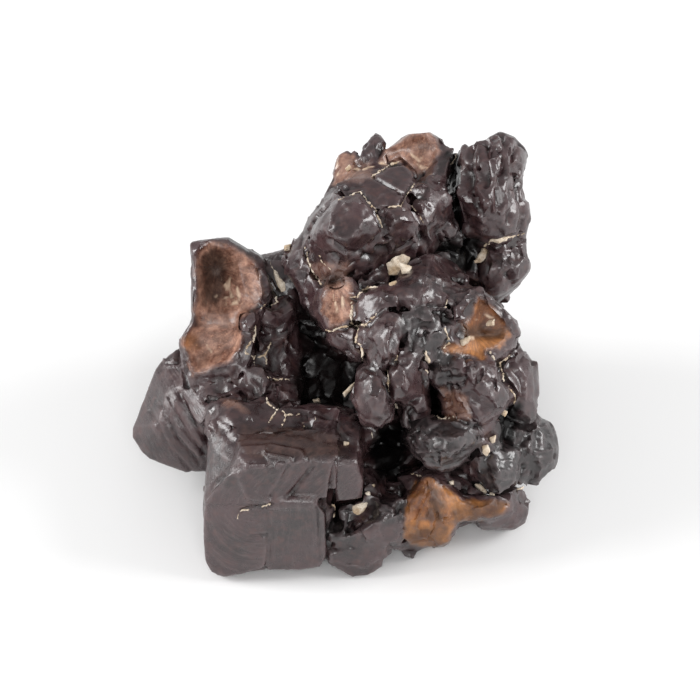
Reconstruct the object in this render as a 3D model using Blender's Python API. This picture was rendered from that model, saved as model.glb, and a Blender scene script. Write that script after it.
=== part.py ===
"""Iron oxide concretion: goethite and hematite after pyrite cubes, grown together in one stone.

Every crystal is the convex hull of a few corners. The corners of the shown side are laid out as an
eye sees them: millimetres across and up on a sight plane through the middle of the stone, and
millimetres nearer to the eye than that plane. Crystals of the far side are laid out on the table.
"""

import itertools
import math
import random

import bmesh
import bpy
from mathutils import Euler, Matrix, Vector

MM = 0.001

# The eye looks down on the stone from this height above the horizon, at this distance.
EYE_RISE = math.radians(40)
EYE_DISTANCE = 600.0

# Where the middle of the sight plane is over the table.
SIGHT_MIDDLE = Vector((0, 0, 35))

RIGHT = Vector((1, 0, 0))
UP = Vector((0, math.sin(EYE_RISE), math.cos(EYE_RISE)))
NEAR = Vector((0, -math.cos(EYE_RISE), math.sin(EYE_RISE)))

# Ways a crystal can run back from its shown corners: along the sight line, along the table, steeply
# down, or in towards the middle of the stone. Where it names no depth, it runs this share of the
# way to the middle, or along the sight line down to this distance behind the sight plane.
AWAY = -NEAR
LEVEL = Vector((0, 1, 0))
STEEP = Vector((-0.20, 0.50, -0.84))
INWARD = None
STONE_MIDDLE = Vector((-2, 11, 27))
SHARE_IN = 0.5
HEART_DEPTH = 15.0
BACK_TAPER = 0.98

# Faces that meet at less than this are one crystal face. Edges sharper than the second angle are
# worn round on the large crystals.
ONE_FACE = math.radians(13)
SHARP = math.radians(24)

# The slab below the table that trims the stone's rests, and the seed of the far side.
TABLE_SLAB = 60.0
TABLE_WIDTH = 240.0
SEED = 11

BROWN = (0.060, 0.042, 0.038, 1.0)


def clear_scene():
    for thing in list(bpy.data.objects):
        bpy.data.objects.remove(thing)


def new_collection(name, hidden=False):
    group = bpy.data.collections.new(name)
    group.hide_render = hidden
    bpy.context.scene.collection.children.link(group)
    return group


def iron_oxide():
    """Dark chocolate brown goethite with a dull satin skin."""
    material = bpy.data.materials.new("iron_oxide")
    material.use_nodes = True
    shader = material.node_tree.nodes["Principled BSDF"]
    shader.inputs["Base Color"].default_value = BROWN
    shader.inputs["Roughness"].default_value = 0.45
    shader.inputs["Metallic"].default_value = 0.0
    return material


def seen(across, up, near):
    """The true place, in mm, of a point given as the eye sees it."""
    shrink = 1 - near / EYE_DISTANCE
    return SIGHT_MIDDLE + RIGHT * (across * shrink) + UP * (up * shrink) + NEAR * near


def run_back(points, lean, depth, taper):
    """The far corners of a crystal: its shown ones drawn together a little and moved back."""
    middle = sum(points, Vector()) / len(points)
    inward = STONE_MIDDLE - middle
    if lean == AWAY:
        reach = (middle - SIGHT_MIDDLE).dot(NEAR) + HEART_DEPTH
    else:
        reach = inward.length * SHARE_IN
    way = lean or inward.normalized()
    length = depth or reach
    return [middle + (p - middle) * taper + way * length for p in points]


def wear_edges(mesh, width, worn):
    """Rounds the sharp edges of a closed crystal, where both ends are among the worn corners."""
    sharp = [
        e for e in mesh.edges
        if e.calc_face_angle(0) > SHARP and e.verts[0] in worn and e.verts[1] in worn
    ]
    bmesh.ops.bevel(
        mesh, geom=sharp, offset=width, offset_type="OFFSET", affect="EDGES", segments=1,
        profile=0.5, material=-1, clamp_overlap=True,
    )
    bmesh.ops.remove_doubles(mesh, verts=mesh.verts, dist=0.02)
    bmesh.ops.dissolve_degenerate(mesh, edges=mesh.edges, dist=0.02)


def hull(shown, hidden, width):
    """A closed crystal round its shown and hidden corners, in mm, with the shown edges worn."""
    mesh = bmesh.new()
    worn = [mesh.verts.new(point) for point in shown]
    for point in hidden:
        mesh.verts.new(point)
    made = bmesh.ops.convex_hull(mesh, input=mesh.verts)
    inside = [v for v in made["geom_interior"] if isinstance(v, bmesh.types.BMVert)]
    bmesh.ops.delete(mesh, geom=inside, context="VERTS")
    bmesh.ops.dissolve_limit(mesh, angle_limit=ONE_FACE, verts=mesh.verts, edges=mesh.edges)
    if width:
        wear_edges(mesh, width, {v for v in worn if v.is_valid})
    bmesh.ops.recalc_face_normals(mesh, faces=mesh.faces)
    bmesh.ops.triangulate(mesh, faces=mesh.faces)
    return mesh


def keep(mesh, name, group):
    """Puts a mesh worked in mm into a collection as an object in metres."""
    mesh.transform(Matrix.Scale(MM, 4))
    data = bpy.data.meshes.new(name)
    mesh.to_mesh(data)
    mesh.free()
    thing = bpy.data.objects.new(name, data)
    thing.display_type = "WIRE" if group.hide_render else "TEXTURED"
    group.objects.link(thing)
    return thing


def crystal(group, name, corners, lean, depth=None, width=0.0, taper=BACK_TAPER):
    """One crystal of the shown side, with its edges worn this many mm wide."""
    shown = [seen(*corner) for corner in corners]
    return keep(hull(shown, run_back(shown, lean, depth, taper), width), name, group)


# The great cube stands at the front left. A slab of growth overhangs its lower half, and a
# smaller cube leans on its right end.
GREAT_CUBE = {
    "great_cube": dict(depth=9, width=1.6, corners=[
        (-29.5, -34, 27), (-27, -27.5, 31), (-5, -27.5, 31), (-6, -40, 24.5), (-6.2, -54, 13),
        (-22, -55.6, 12.5), (-33.5, -57.8, 14.2), (-36.4, -53, 13), (-36.4, -37, 23),
        (-35.5, -22, 21), (-37.4, -45, 8), (-28.5, -19, 22), (-2, -20, 25),
    ]),
    "growth_slab": dict(depth=5, width=1.0, corners=[
        (-30.5, -31.5, 32), (-27.7, -27, 34), (-12, -27.5, 34.5), (-3, -27, 35), (-3.4, -35, 31),
        (-8, -37.2, 29), (-17, -37.8, 28.6), (-27, -38.5, 28), (-32.5, -39, 26.5),
        (-28, -23.5, 29), (-16, -23, 31), (-3, -23, 30),
    ]),
    "slab_step": dict(depth=10, corners=[
        (-28.5, -31, 34), (-24, -29.2, 35.4), (-14.5, -29, 35.6), (-18, -37.8, 30.4), (-26, -37.8, 30.4),
    ]),
    "low_step": dict(depth=10, corners=[
        (-20.5, -40, 26.4), (-7, -39, 27), (-7.6, -54.2, 15), (-20.5, -55, 14.2),
    ]),
    "corner_step": dict(depth=10, corners=[
        (-35, -44, 22), (-26, -41.5, 24.5), (-25.5, -49, 19.5), (-34.5, -54, 14),
    ]),
    "cube_ledge": dict(lean=AWAY, depth=8, corners=[
        (-26.5, -24.6, 32), (-20, -23.4, 32), (-12, -25, 34), (-11, -27.6, 35.4), (-18, -28.4, 35.4),
        (-26, -27.5, 34.4),
    ]),
    "leaning_cube": dict(depth=14, width=0.9, corners=[
        (-3, -28.2, 33), (1.7, -28.2, 32), (3.4, -33.5, 28.5), (3, -37.5, 25), (-3.5, -38.7, 25),
        (-4.2, -33, 30), (-2, -25, 29), (2, -25.2, 28),
    ]),
    "seam_cube": dict(lean=AWAY, corners=[
        (-20, -21, 22), (-6, -20.5, 22), (0, -21, 21), (-1, -25, 27), (-12, -24, 30), (-22, -24, 29),
    ]),
}

# The wedge lies to the left of the great cube, with one corner towards the eye.
LEFT_WEDGE = {
    "left_wedge": dict(width=1.3, corners=[
        (-55.7, -20.9, -8), (-48, -19.5, 4), (-45.5, -12, 5), (-48.5, -2.8, -6), (-43.5, 0.5, -6),
        (-51.7, -27.4, -8), (-46.5, -29.2, -6), (-40.8, -31.6, -6), (-36, -31, -5), (-35.5, -20, 5),
        (-37.5, -12.5, 6), (-38, -3, 2),
    ]),
    "wedge_plate": dict(corners=[
        (-46.4, -19.5, 5.2), (-44.6, -12.5, 6), (-38.5, -13, 7.4), (-36, -20, 6.4), (-38, -27.5, 1),
    ]),
}

# Broken crystals at the left, hollow inside: a tall cup and a scoop below it.
CUP = {
    "cup": dict(depth=20, width=1.0, corners=[
        (-39.7, 25, 9), (-38.2, 26.7, 9), (-34.2, 28.2, 8), (-30.5, 28.5, 6), (-25, 25, 5),
        (-22.7, 20.5, 6), (-20, 13, 7), (-22, 9.5, 11), (-28, 6.2, 13), (-40, 5, 13),
        (-40.9, 12.5, 11), (-39.4, 18, 10),
    ]),
    "cup_shoulder": dict(corners=[
        (-25, 24, 3), (-21.8, 22.5, 2), (-17.5, 12.8, 3), (-19.5, 10.5, 6), (-22.5, 18, 7),
    ]),
    "cup_knob": dict(corners=[
        (-39.8, 25.2, 10), (-38, 27, 10), (-35.5, 26, 10.5), (-36.5, 23.5, 12), (-39, 23.2, 12),
    ]),
    "scoop": dict(depth=17, width=0.9, corners=[
        (-40, 6.2, 13), (-43.2, 2.5, 12), (-42.7, -1, 12), (-41.5, -4.5, 12), (-39.9, -9.6, 10),
        (-32, -7.8, 12), (-27.5, -4, 13), (-24.8, 2.5, 13), (-27, 7, 13),
    ]),
    "cup_bead": dict(corners=[
        (-27.8, 9, 14), (-24, 10, 15), (-22.8, 7, 15), (-25, 4, 16), (-28, 5, 16),
    ]),
    "scoop_wall": dict(corners=[
        (-28, 4, 13.5), (-24.2, 4.5, 13), (-24.5, -1.5, 13), (-28, -6.5, 12.5), (-31, -6.5, 12.5),
    ]),
}

# Small crystals in the trough between the cup, the great cube and the dark pocket.
TROUGH = {
    "shelf_left": dict(corners=[
        (-42, -9.5, 8), (-37.5, -10.5, 10), (-35.5, -12.2, 12), (-38.7, -13.7, 11), (-41.5, -13, 8),
    ]),
    "shelf_mid": dict(corners=[
        (-40.5, -13.8, 9), (-36.2, -13, 13), (-34.5, -15.5, 14), (-37.5, -18.7, 13), (-40, -16.5, 10),
    ]),
    "shelf_right": dict(corners=[
        (-35.2, -12.8, 15), (-32, -12.4, 16), (-30, -14.5, 17), (-31.2, -17, 18), (-34.5, -16, 16),
    ]),
    "shelf_nub": dict(corners=[
        (-35.5, -17.5, 19), (-32.5, -16.2, 20), (-30, -18, 21), (-30, -20.5, 23), (-33, -22.5, 23),
        (-35.7, -21.2, 22),
    ]),
    "red_arc": dict(corners=[
        (-31, -11.8, 17), (-27.5, -12, 19), (-24.8, -14, 20), (-25, -19, 23), (-30, -19, 23),
    ]),
    "under_scoop": dict(corners=[
        (-38, -8.5, 9), (-30, -8, 11), (-27, -10, 13), (-30, -12.5, 14), (-37, -11, 11),
    ]),
    "upright": dict(corners=[
        (-26.2, -4.5, 12), (-21.2, -3.7, 12), (-19.5, -7.5, 12), (-21.2, -11.2, 14), (-25, -12.5, 14),
        (-27.5, -10, 13),
    ]),
    "bright_facet": dict(corners=[
        (-25, -13.5, 17), (-22, -13.2, 18), (-19.5, -12, 17), (-18.5, -16, 20), (-21, -19.5, 23),
        (-25.2, -19.5, 23),
    ]),
    "dark_step": dict(corners=[
        (-20, -7.5, 11), (-12.5, -6.5, 10), (-11.5, -10.5, 10), (-14, -14.5, 13), (-20, -14, 14),
    ]),
    "dark_step_top": dict(corners=[
        (-18.5, -9, 13), (-12.5, -8, 12), (-13, -12, 13), (-18, -13, 15),
    ]),
    "pane_left": dict(corners=[
        (-20, -18.5, 22), (-17.2, -13.8, 19), (-14.5, -14.5, 19), (-16.4, -20, 23),
    ]),
    "pane_right": dict(corners=[
        (-16.2, -20, 22), (-13.8, -14.8, 19), (-10.2, -14.8, 19), (-8.5, -20, 22),
    ]),
    "smooth_block": dict(corners=[
        (-8, -13.7, 16), (-2.2, -15, 20), (0, -15.5, 16), (-1.2, -20, 17), (-3, -21.7, 21),
        (-6.5, -21.5, 24), (-10.5, -20, 21), (-11.2, -16.2, 17), (-7, -21, 24),
    ]),
    "small_steps": dict(corners=[
        (0, -18.7, 14), (5.5, -19.5, 17), (7.5, -22.5, 16), (5, -25, 18), (0.5, -23.7, 18),
    ]),
    "slate_block": dict(corners=[
        (-20.5, 9.2, 6), (-18.7, 13, 4), (-16.2, 14.4, 3), (-14.2, 12.5, 4), (-13.5, 8.7, 6),
        (-15.2, 4.5, 7), (-19, 3.7, 10), (-22, 6.2, 11), (-20.5, 9.2, 10), (-15, 9.4, 9.5),
    ]),
    "slate_foot": dict(corners=[
        (-23, 3.7, 10), (-16, 4, 8), (-16.5, -0.5, 8), (-22.5, -0.7, 11), (-20, 1.5, 11),
    ]),
    "glint_block": dict(corners=[
        (-17.5, 1.2, 5), (-12.5, 3.7, 2), (-9.5, 2.5, 1), (-10, -1.2, 3), (-13, -3.7, 6), (-16.7, -2.5, 7),
    ]),
    "round_dark": dict(corners=[
        (-21, -1, 9), (-16.5, -0.5, 8), (-14.5, -4, 7), (-16.5, -6.7, 9), (-20.5, -6, 10),
    ]),
}

# The crown: a great boulder of a crystal and its neighbours up to the broken bowl at the top.
CROWN = {
    "boulder": dict(width=1.2, corners=[
        (2.5, 39.7, 22), (7, 35.5, 24), (8.2, 30.5, 24), (5.5, 25.5, 23), (1.2, 18.5, 15),
        (-7, 20.5, 15), (-10.5, 26, 16), (-9, 32, 19), (-3.7, 37.5, 21), (0, 36.7, 27),
        (3.2, 34, 28), (2.7, 29.5, 29), (-1.2, 27.2, 29), (-5, 28.5, 28), (-5.5, 32, 27),
    ]),
    "roof_block": dict(corners=[
        (6, 44, 13), (12.5, 47.2, 9), (16.2, 43.2, 13), (14.5, 38.5, 20), (12.5, 35.5, 20),
        (7.5, 35.7, 20), (2.5, 39.7, 18), (-1.2, 38.5, 12), (-1.2, 43, 8),
    ]),
    "shield": dict(corners=[
        (8.2, 35, 21), (12.5, 36.2, 21), (15.7, 35.7, 20), (18.5, 32, 19), (17.5, 29.2, 18),
        (14.5, 27.5, 18), (10, 28.5, 20), (8, 31, 22), (12.5, 32.5, 25.5),
    ]),
    "under_shield": dict(corners=[
        (7.5, 28.2, 19), (12.5, 28, 20), (16, 26.7, 17), (16.2, 23.7, 12), (12.5, 23.5, 14),
        (8.7, 23.7, 14), (7, 25.7, 17), (10.5, 26.8, 21),
    ]),
    "boulder_foot": dict(corners=[
        (3, 18.2, 17), (5.5, 19.5, 17), (8.7, 22, 14), (10, 20, 15), (9.5, 16.2, 18), (5, 15, 20),
        (1.5, 16, 19),
    ]),
    "bowl": dict(width=0.9, corners=[
        (8.2, 50, -4), (14.5, 54.7, -8), (20.5, 55.2, -7), (25.5, 51.7, -2), (26.4, 46.2, 3),
        (24, 41.2, 8), (16.2, 41.2, 11), (8.7, 44.5, 8), (7.5, 47, 2),
    ]),
    "horn": dict(corners=[
        (4.2, 53, -5), (6.2, 53.5, -5), (7.6, 50, -3), (8, 47, -1), (3, 47, 0), (3.4, 50, -3),
    ]),
    "horn_foot": dict(corners=[
        (1, 46.5, 2), (8, 47.5, 1), (8, 44, 8), (1, 43.5, 8), (-1.5, 45, 2),
    ]),
    "crust_nub": dict(corners=[
        (-3, 48.7, -4), (-0.5, 49.7, -4), (1.2, 48, -2), (1, 45.5, 2), (-2.5, 45, 0),
    ]),
    "crust_nub_low": dict(corners=[
        (-4.4, 43.8, -1), (-3, 45.2, -1), (-1, 44, 2), (-1.5, 41.5, 5), (-4.2, 41.2, 2),
    ]),
    "slope": dict(width=0.9, corners=[
        (17, 41, 14), (23.7, 41.2, 10), (25.7, 37.5, 8), (25.8, 33.7, 7), (27, 30.5, 3),
        (22.5, 26.2, 5), (18.2, 25, 9), (19.5, 31, 15), (17.5, 37, 17),
    ]),
    "slope_ridge": dict(corners=[
        (18.5, 38.5, 17), (22.5, 36, 14), (21.5, 30.5, 13), (19.5, 25.5, 12), (18, 27, 13),
        (18.6, 33, 17.5),
    ]),
    "left_flank_high": dict(corners=[
        (-8.2, 36.2, 4), (-7.5, 38, 1), (-5.5, 40.5, 1), (-4.5, 42, 2), (-1, 41, 8), (-2, 37.5, 15),
        (-6, 34.5, 14),
    ]),
    "left_flank": dict(corners=[
        (-11.8, 30.5, 4), (-10.5, 33.8, 3), (-8, 35.6, 4), (-5, 36.5, 9), (-7, 32, 14),
        (-10.5, 28.5, 11),
    ]),
    "left_flank_low": dict(corners=[
        (-16.7, 25.5, 1), (-14.5, 28, 1), (-11.5, 29.5, 3), (-9.5, 28, 9), (-11, 25, 10), (-15, 23.7, 6),
    ]),
    "left_face": dict(corners=[
        (-15.5, 23.7, 6), (-11.2, 25.5, 10), (-9.7, 21, 12), (-9.5, 17, 12), (-11.7, 15, 10),
        (-15, 19.5, 8), (-17.5, 21.7, 3), (-13.5, 20.5, 12),
    ]),
    "left_face_foot": dict(corners=[
        (-12.5, 17, 9), (-8, 18.5, 13), (-7, 15.5, 15), (-9, 12.5, 13), (-12.5, 13, 8),
    ]),
    "saddle": dict(corners=[
        (-22, 21.5, 0), (-17.5, 22, 1), (-14.5, 18, 3), (-15, 14, 3), (-18.5, 13.5, 2),
    ]),
}

# The middle of the shown side, nearest to the eye.
MIDDLE = {
    "tan_hollow": dict(corners=[
        (-7.5, 16.2, 20), (-3.7, 19, 20), (1.2, 17.5, 21), (2, 13.7, 24), (0.5, 6.4, 27),
        (-5, 4.9, 25), (-9.4, 8, 20), (-9.9, 12.5, 17), (-7.4, 10.5, 26),
    ]),
    "cleft_lump": dict(corners=[
        (2.5, 15, 26), (6.2, 16, 26), (11.2, 15.2, 27), (13.2, 13.2, 28), (12.5, 11.2, 30),
        (8.7, 9.8, 31.5), (5, 8, 31), (2, 7, 28), (0.7, 12.5, 27), (8, 13, 32),
    ]),
    "hanging_lump": dict(corners=[
        (-5.7, 4.2, 24), (-1.2, 5.6, 27), (2, 5.4, 28), (2.2, 0.5, 28), (0, -1, 26), (-3.7, 0.5, 23),
        (-5.7, 2.5, 22), (-0.5, 2.5, 29.5),
    ]),
    "nub": dict(corners=[
        (0.2, 0.8, 27), (1.6, 1, 29), (2.6, -0.5, 29), (2.2, -2.6, 28), (0.6, -2.8, 26),
        (-0.2, -1, 26), (1.2, -0.9, 31),
    ]),
    "prow": dict(width=0.9, corners=[
        (2.6, 6.2, 30), (5.5, 7.8, 31), (9.5, 9.5, 32), (12, 9.5, 32), (10, 6, 37), (9.2, -2, 37.5),
        (13.5, 7, 31), (12.5, 2.5, 31), (11, -3, 32), (8.7, -5, 33), (5, -3, 31), (2.7, 1, 30),
        (6.8, 4, 35.5),
    ]),
    "wrinkled_lump": dict(width=0.9, corners=[
        (3, -3.7, 32), (7, -4.5, 34), (9.3, -7.5, 35), (10.3, -12.5, 35), (10.5, -15.5, 33),
        (8.2, -19.5, 29), (5.5, -17.5, 33), (2, -15, 33), (0.5, -12, 31), (1.2, -8.7, 31),
        (5.5, -9, 38), (7, -14.5, 37.5),
    ]),
    "ridged_block": dict(corners=[
        (10.7, -2, 32), (12.5, 0, 33), (16.2, -2, 32), (18.4, -5, 29), (18.2, -8.7, 29),
        (17, -12, 31), (13.7, -12.7, 32), (10.8, -10.5, 32), (10, -5.5, 33), (12.4, -3.5, 37),
        (14.3, -9.5, 37),
    ]),
    "lower_tooth": dict(corners=[
        (13, -12.3, 27), (17.5, -11.8, 27), (18.6, -15, 25), (17.5, -18, 24), (13.7, -18.5, 25),
        (15, -14, 30),
    ]),
    "pyramid": dict(corners=[
        (15.5, 22, 19), (20, 23.7, 17), (25, 18, 19), (27, 15, 21), (25, 12, 26), (20, 10, 29),
        (15.5, 10, 30), (12.5, 12.5, 29), (12, 16.5, 27), (13, 20, 22), (19.5, 17.5, 31),
        (16.5, 12.5, 33),
    ]),
    "pyramid_back": dict(corners=[
        (20, 24, 11), (25, 23.5, 4), (29, 20, 6), (30, 17.5, 12), (26.5, 17.5, 18), (22, 20.5, 19),
    ]),
    "rough_saddle": dict(corners=[
        (13, 9.5, 30), (18.7, 10.5, 30), (24.5, 9.5, 28), (24, 3.7, 30), (24.5, -1, 30), (20, -3, 30),
        (15.5, -2, 31), (13, 2.5, 31), (18, 4, 33.5),
    ]),
    "rough_knob": dict(corners=[
        (18.5, 8.5, 31), (22.5, 8.5, 31), (23.3, 5, 32.5), (20, 4.4, 34), (17.5, 5.8, 33),
    ]),
}

# Broken star-shaped hollow at the right, and the blocks that hang below it.
RIGHT_SIDE = {
    "star_hollow": dict(lean=AWAY, depth=22, width=1.1, corners=[
        (25, 12, 27), (27.5, 15, 25), (31.5, 16.2, 23), (33.9, 14.5, 22), (36.7, 10.7, 21),
        (40.8, 8, 19), (42.6, 3.7, 17), (41.2, 0.4, 18), (37.5, -2.5, 22), (32.5, -2.9, 27),
        (24.2, -0.7, 30), (23.7, 5, 30),
    ]),
    "star_lobe": dict(lean=AWAY, corners=[
        (26.3, 11, 29), (29.5, 14.2, 28), (31.5, 13, 29), (29.7, 8.5, 31), (26.5, 7.5, 31),
    ]),
    "under_star": dict(lean=AWAY, corners=[
        (22.5, -2.5, 29), (26.2, -1.2, 30), (33.7, -3, 27), (34.6, -6.2, 28), (30, -8.7, 29),
        (25, -8.7, 28), (22, -5.5, 27), (31.5, -4, 32), (26, -4.5, 32),
    ]),
    "big_facet": dict(lean=AWAY, corners=[
        (28, -9.5, 28), (33, -8, 31.5), (37.5, -7.2, 26), (41.7, -12.2, 22), (38.9, -14.9, 24),
        (36.7, -14.7, 29.5), (32.5, -18.7, 27), (28.4, -14.5, 27),
    ]),
    "neck": dict(lean=AWAY, corners=[
        (33.5, -2.5, 26), (37.5, -2.5, 22), (38.5, -6, 22), (37, -9, 25), (33.5, -8.5, 29),
    ]),
    "red_recess": dict(lean=AWAY, corners=[
        (23.7, -9.3, 22), (28, -9.5, 25), (30, -13.7, 25), (30.5, -17.5, 24), (25, -17, 23),
        (22.3, -12.5, 20),
    ]),
    "right_block": dict(width=1.0, corners=[
        (38.2, -2.4, 15), (40.5, -0.2, 13), (43.7, 0, 10), (46.7, -2, 7), (48, -6.2, 6),
        (48.2, -12.5, 6), (47.5, -17, 7), (45, -18.7, 10), (42.5, -17.5, 13), (41.4, -12, 17),
        (38.4, -8, 18), (37.8, -4.5, 18), (44.5, -4.5, 15), (45.5, -13, 15),
    ]),
    "far_lump": dict(width=0.9, corners=[
        (47.5, -16.4, 3), (50.5, -17.5, 0), (51.6, -20.5, 0), (52.5, -23.7, -1), (52.5, -27.5, -1),
        (51.2, -30.5, 0), (48.7, -31, 3), (47.5, -33, 3), (45, -34.4, 3), (42.5, -32.5, 6),
        (41.2, -27.5, 9), (41.2, -22.5, 9), (42.5, -19.5, 8), (46, -23, 11), (48, -28, 8),
    ]),
    "far_lump_bump": dict(corners=[
        (48.5, -24, 6), (51.5, -25, 3), (51.6, -28, 3), (49.2, -29, 6), (47.4, -26, 9),
    ]),
    "coal_lump": dict(lean=AWAY, corners=[
        (13.2, -21.5, 22), (15.5, -18.7, 24), (18.7, -17.7, 26), (25, -17.5, 27), (30, -18.7, 27),
        (32.5, -21.2, 24), (30.5, -25, 25), (27.5, -28, 25), (23.7, -29.4, 26), (20, -28.5, 26),
        (16.2, -25.5, 25), (22.5, -23.5, 33), (27, -23, 32.5), (19.5, -21, 30),
    ]),
    "coal_knob": dict(lean=AWAY, corners=[
        (20.5, -23, 31), (24.5, -21.4, 33), (28, -22.4, 33), (28, -25, 31.5), (24, -27.6, 30),
        (21.5, -26.5, 29.5),
    ]),
    "brown_cheek": dict(lean=AWAY, corners=[
        (31, -18.9, 24), (36, -17, 22), (38.7, -18.7, 18), (37.5, -23.7, 18), (32.5, -26, 19),
        (31, -22.5, 23),
    ]),
    "slag_lump": dict(corners=[
        (33.7, -25.5, 17), (37.5, -24, 16), (41.2, -25, 14), (42, -30, 13), (40, -34.5, 14),
        (36.7, -36, 16), (33.7, -33.7, 17), (33, -29.5, 18), (37.5, -30.5, 22), (36, -27, 20),
    ]),
    "slag_rib": dict(lean=AWAY, corners=[
        (39.8, -24.3, 16), (41.6, -24.6, 15), (42.4, -30, 14), (40.3, -34.8, 15), (39.5, -33, 16.5),
        (40.8, -29, 17),
    ]),
}

# The low front: a broken rust-brown face with an arm to the right, and the lumps it stands on.
LOW_FRONT = {
    "rust_face": dict(corners=[
        (13, -45, 19), (13.9, -38.7, 22), (16.2, -33, 21), (20.5, -32, 20), (25.5, -34.2, 19),
        (28.7, -37.5, 18), (27, -42, 19), (26.9, -46.2, 16), (23.7, -49.4, 13), (18.7, -48.7, 14),
        (16.2, -49.3, 13), (19, -37, 26), (18.7, -43.7, 24.5),
    ]),
    "rust_flank": dict(corners=[
        (21, -39, 24), (24.5, -37, 22), (26.5, -43, 20), (25, -48, 15), (21, -47.5, 17),
    ]),
    "rust_arm": dict(corners=[
        (27, -37.3, 18), (31.2, -36.8, 17), (37.5, -37.2, 16), (40, -39.3, 14), (38.7, -41.4, 14),
        (35, -43, 14), (30, -42.5, 15), (27, -41.7, 18), (31, -39.5, 20),
    ]),
    "rust_foot": dict(corners=[
        (12.5, -47, 14), (15.5, -47, 15), (17.5, -49.5, 12), (16, -52.4, 9), (13.7, -51.8, 9),
        (12, -49.5, 12),
    ]),
    "end_lump": dict(width=0.9, corners=[
        (38.7, -35.5, 11), (42.5, -34.5, 7), (44.5, -37.5, 5), (45, -40, 5), (44.2, -43, 5),
        (41.2, -45.2, 6), (32.5, -45.2, 8), (31.2, -43.5, 10), (35, -42.5, 13), (40, -40.5, 13),
    ]),
    "front_sill": dict(lean=LEVEL, depth=18, corners=[
        (-6, -46.2, 17), (-1.2, -45.5, 19), (3.7, -47.5, 20), (9.5, -50, 17), (11, -50.6, 15),
        (8.7, -53.7, 13), (5.5, -56.2, 13), (0.5, -56.9, 13), (-3.7, -54.5, 13), (-5.9, -52.5, 14),
    ]),
    "sill_wedge": dict(corners=[
        (0.5, -45.9, 20), (5, -43.7, 23), (8.7, -42.5, 24), (12.5, -41.2, 23), (13.2, -45, 20),
        (12.5, -48.7, 18), (10, -49.5, 19), (5, -47.5, 22),
    ]),
    "grey_lump": dict(corners=[
        (5.5, -38, 19), (8.7, -37.5, 20), (13, -38.2, 20), (13.5, -41.2, 21), (8.7, -42.7, 23),
        (5.5, -42, 20), (9.5, -39.5, 23),
    ]),
    "pit_block": dict(corners=[
        (-2.5, -39.7, 13), (4.5, -38.5, 15), (5, -43, 17), (0.5, -45, 17), (-4, -46, 15),
    ]),
    "pit_wall": dict(corners=[
        (4, -30.5, 17), (8, -30.5, 14), (9, -37, 15), (4.5, -38.5, 18),
    ]),
    "ledge_over_rust": dict(corners=[
        (12.5, -31.5, 14), (20, -30, 14), (27.5, -32.5, 14), (35, -37, 12), (28, -37.5, 15),
        (14, -34, 16),
    ]),
}

# The upper right: a great rough block, set off from the crown by a deep cleft, on a lower one.
UPPER_RIGHT = {
    "rough_block": dict(depth=14, width=1.1, corners=[
        (26.9, 50.3, -8), (32.5, 53, -10), (38.2, 55.2, -12), (41.2, 54, -12), (44.7, 50, -12),
        (44.8, 47.5, -11), (43.5, 44.5, -8), (37.5, 42.5, 3), (30.5, 44.5, 1), (32, 49.5, 0),
        (38.5, 50, 1), (41.2, 47, -1),
    ]),
    "rough_block_low": dict(depth=14, width=1.0, corners=[
        (27, 41.2, -4), (32, 43.7, 3), (42.7, 43.2, -4), (44.2, 38, -5), (45.6, 33.7, -6),
        (44.7, 29.2, -6), (37.5, 28, 2), (30.5, 28.7, -2), (29, 34.5, 3), (38.7, 36.2, 7),
        (32.5, 33.5, 7),
    ]),
    "claw": dict(depth=9, corners=[
        (28, 40.5, 3), (30.5, 41.5, 6), (31.3, 35.5, 9), (34, 31.5, 8), (31.5, 30.7, 6), (28.8, 35, 5),
    ]),
    "claw_two": dict(depth=9, corners=[
        (32, 41, 6), (34, 41.5, 7), (34.7, 36, 10), (36.6, 31.7, 8), (34.2, 32.5, 8), (32.6, 36, 8),
    ]),
    "claw_three": dict(depth=9, corners=[
        (36, 40, 7), (38.6, 39, 8), (39.4, 35.5, 9), (37.5, 33.4, 9), (36, 35.5, 9.5),
    ]),
    "top_rib": dict(depth=9, corners=[
        (33.5, 51, 0), (36, 52.5, -2), (38.3, 48.5, 4), (37, 44.5, 6), (34.2, 46, 5),
    ]),
    "top_rib_two": dict(depth=9, corners=[
        (38.4, 53.6, -5), (40.3, 53, -6), (42.3, 47.2, 0), (40, 44, 4), (38.6, 46, 3),
    ]),
    "low_block": dict(depth=13, width=0.9, corners=[
        (32.5, 22, -4), (34.2, 25, -4), (37.5, 26.9, -3), (44.2, 27.7, -8), (45.5, 23, -8),
        (45.4, 20, -8), (43.4, 17.6, -8), (41.2, 15.9, -6), (37.5, 14.6, -4), (35, 13.6, -4),
        (33, 17.5, -3), (38, 21.5, 1), (42, 21, -2),
    ]),
    "low_block_ribs": dict(depth=9, corners=[
        (41, 26, -2), (44, 25.5, -4), (45, 22, -5), (44, 18, -5), (41, 17.5, -2), (40.5, 21, 0),
    ]),
    "cleft_wall": dict(corners=[
        (25, 50, -9), (28, 49, -10), (29.5, 40, -9), (30, 31, -8), (26, 30, -6), (25, 40, -6),
    ]),
    "cleft_floor": dict(corners=[
        (20, 29, -2), (29, 31, -6), (34, 26, -8), (33, 18, -5), (26, 21, 0), (19, 24, 2),
    ]),
    "cleft_tooth": dict(corners=[
        (24, 31, 2), (27, 30, 3), (29, 27.5, 3), (28, 25, 2), (24, 27, 3),
    ]),
}

# Each group of the shown side with the way its crystals run back, where they name no other.
SHOWN_SIDE = (
    (GREAT_CUBE, LEVEL), (LEFT_WEDGE, INWARD), (CUP, AWAY), (TROUGH, AWAY), (CROWN, INWARD),
    (MIDDLE, AWAY), (RIGHT_SIDE, INWARD), (LOW_FRONT, AWAY), (UPPER_RIGHT, STEEP),
)

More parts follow.
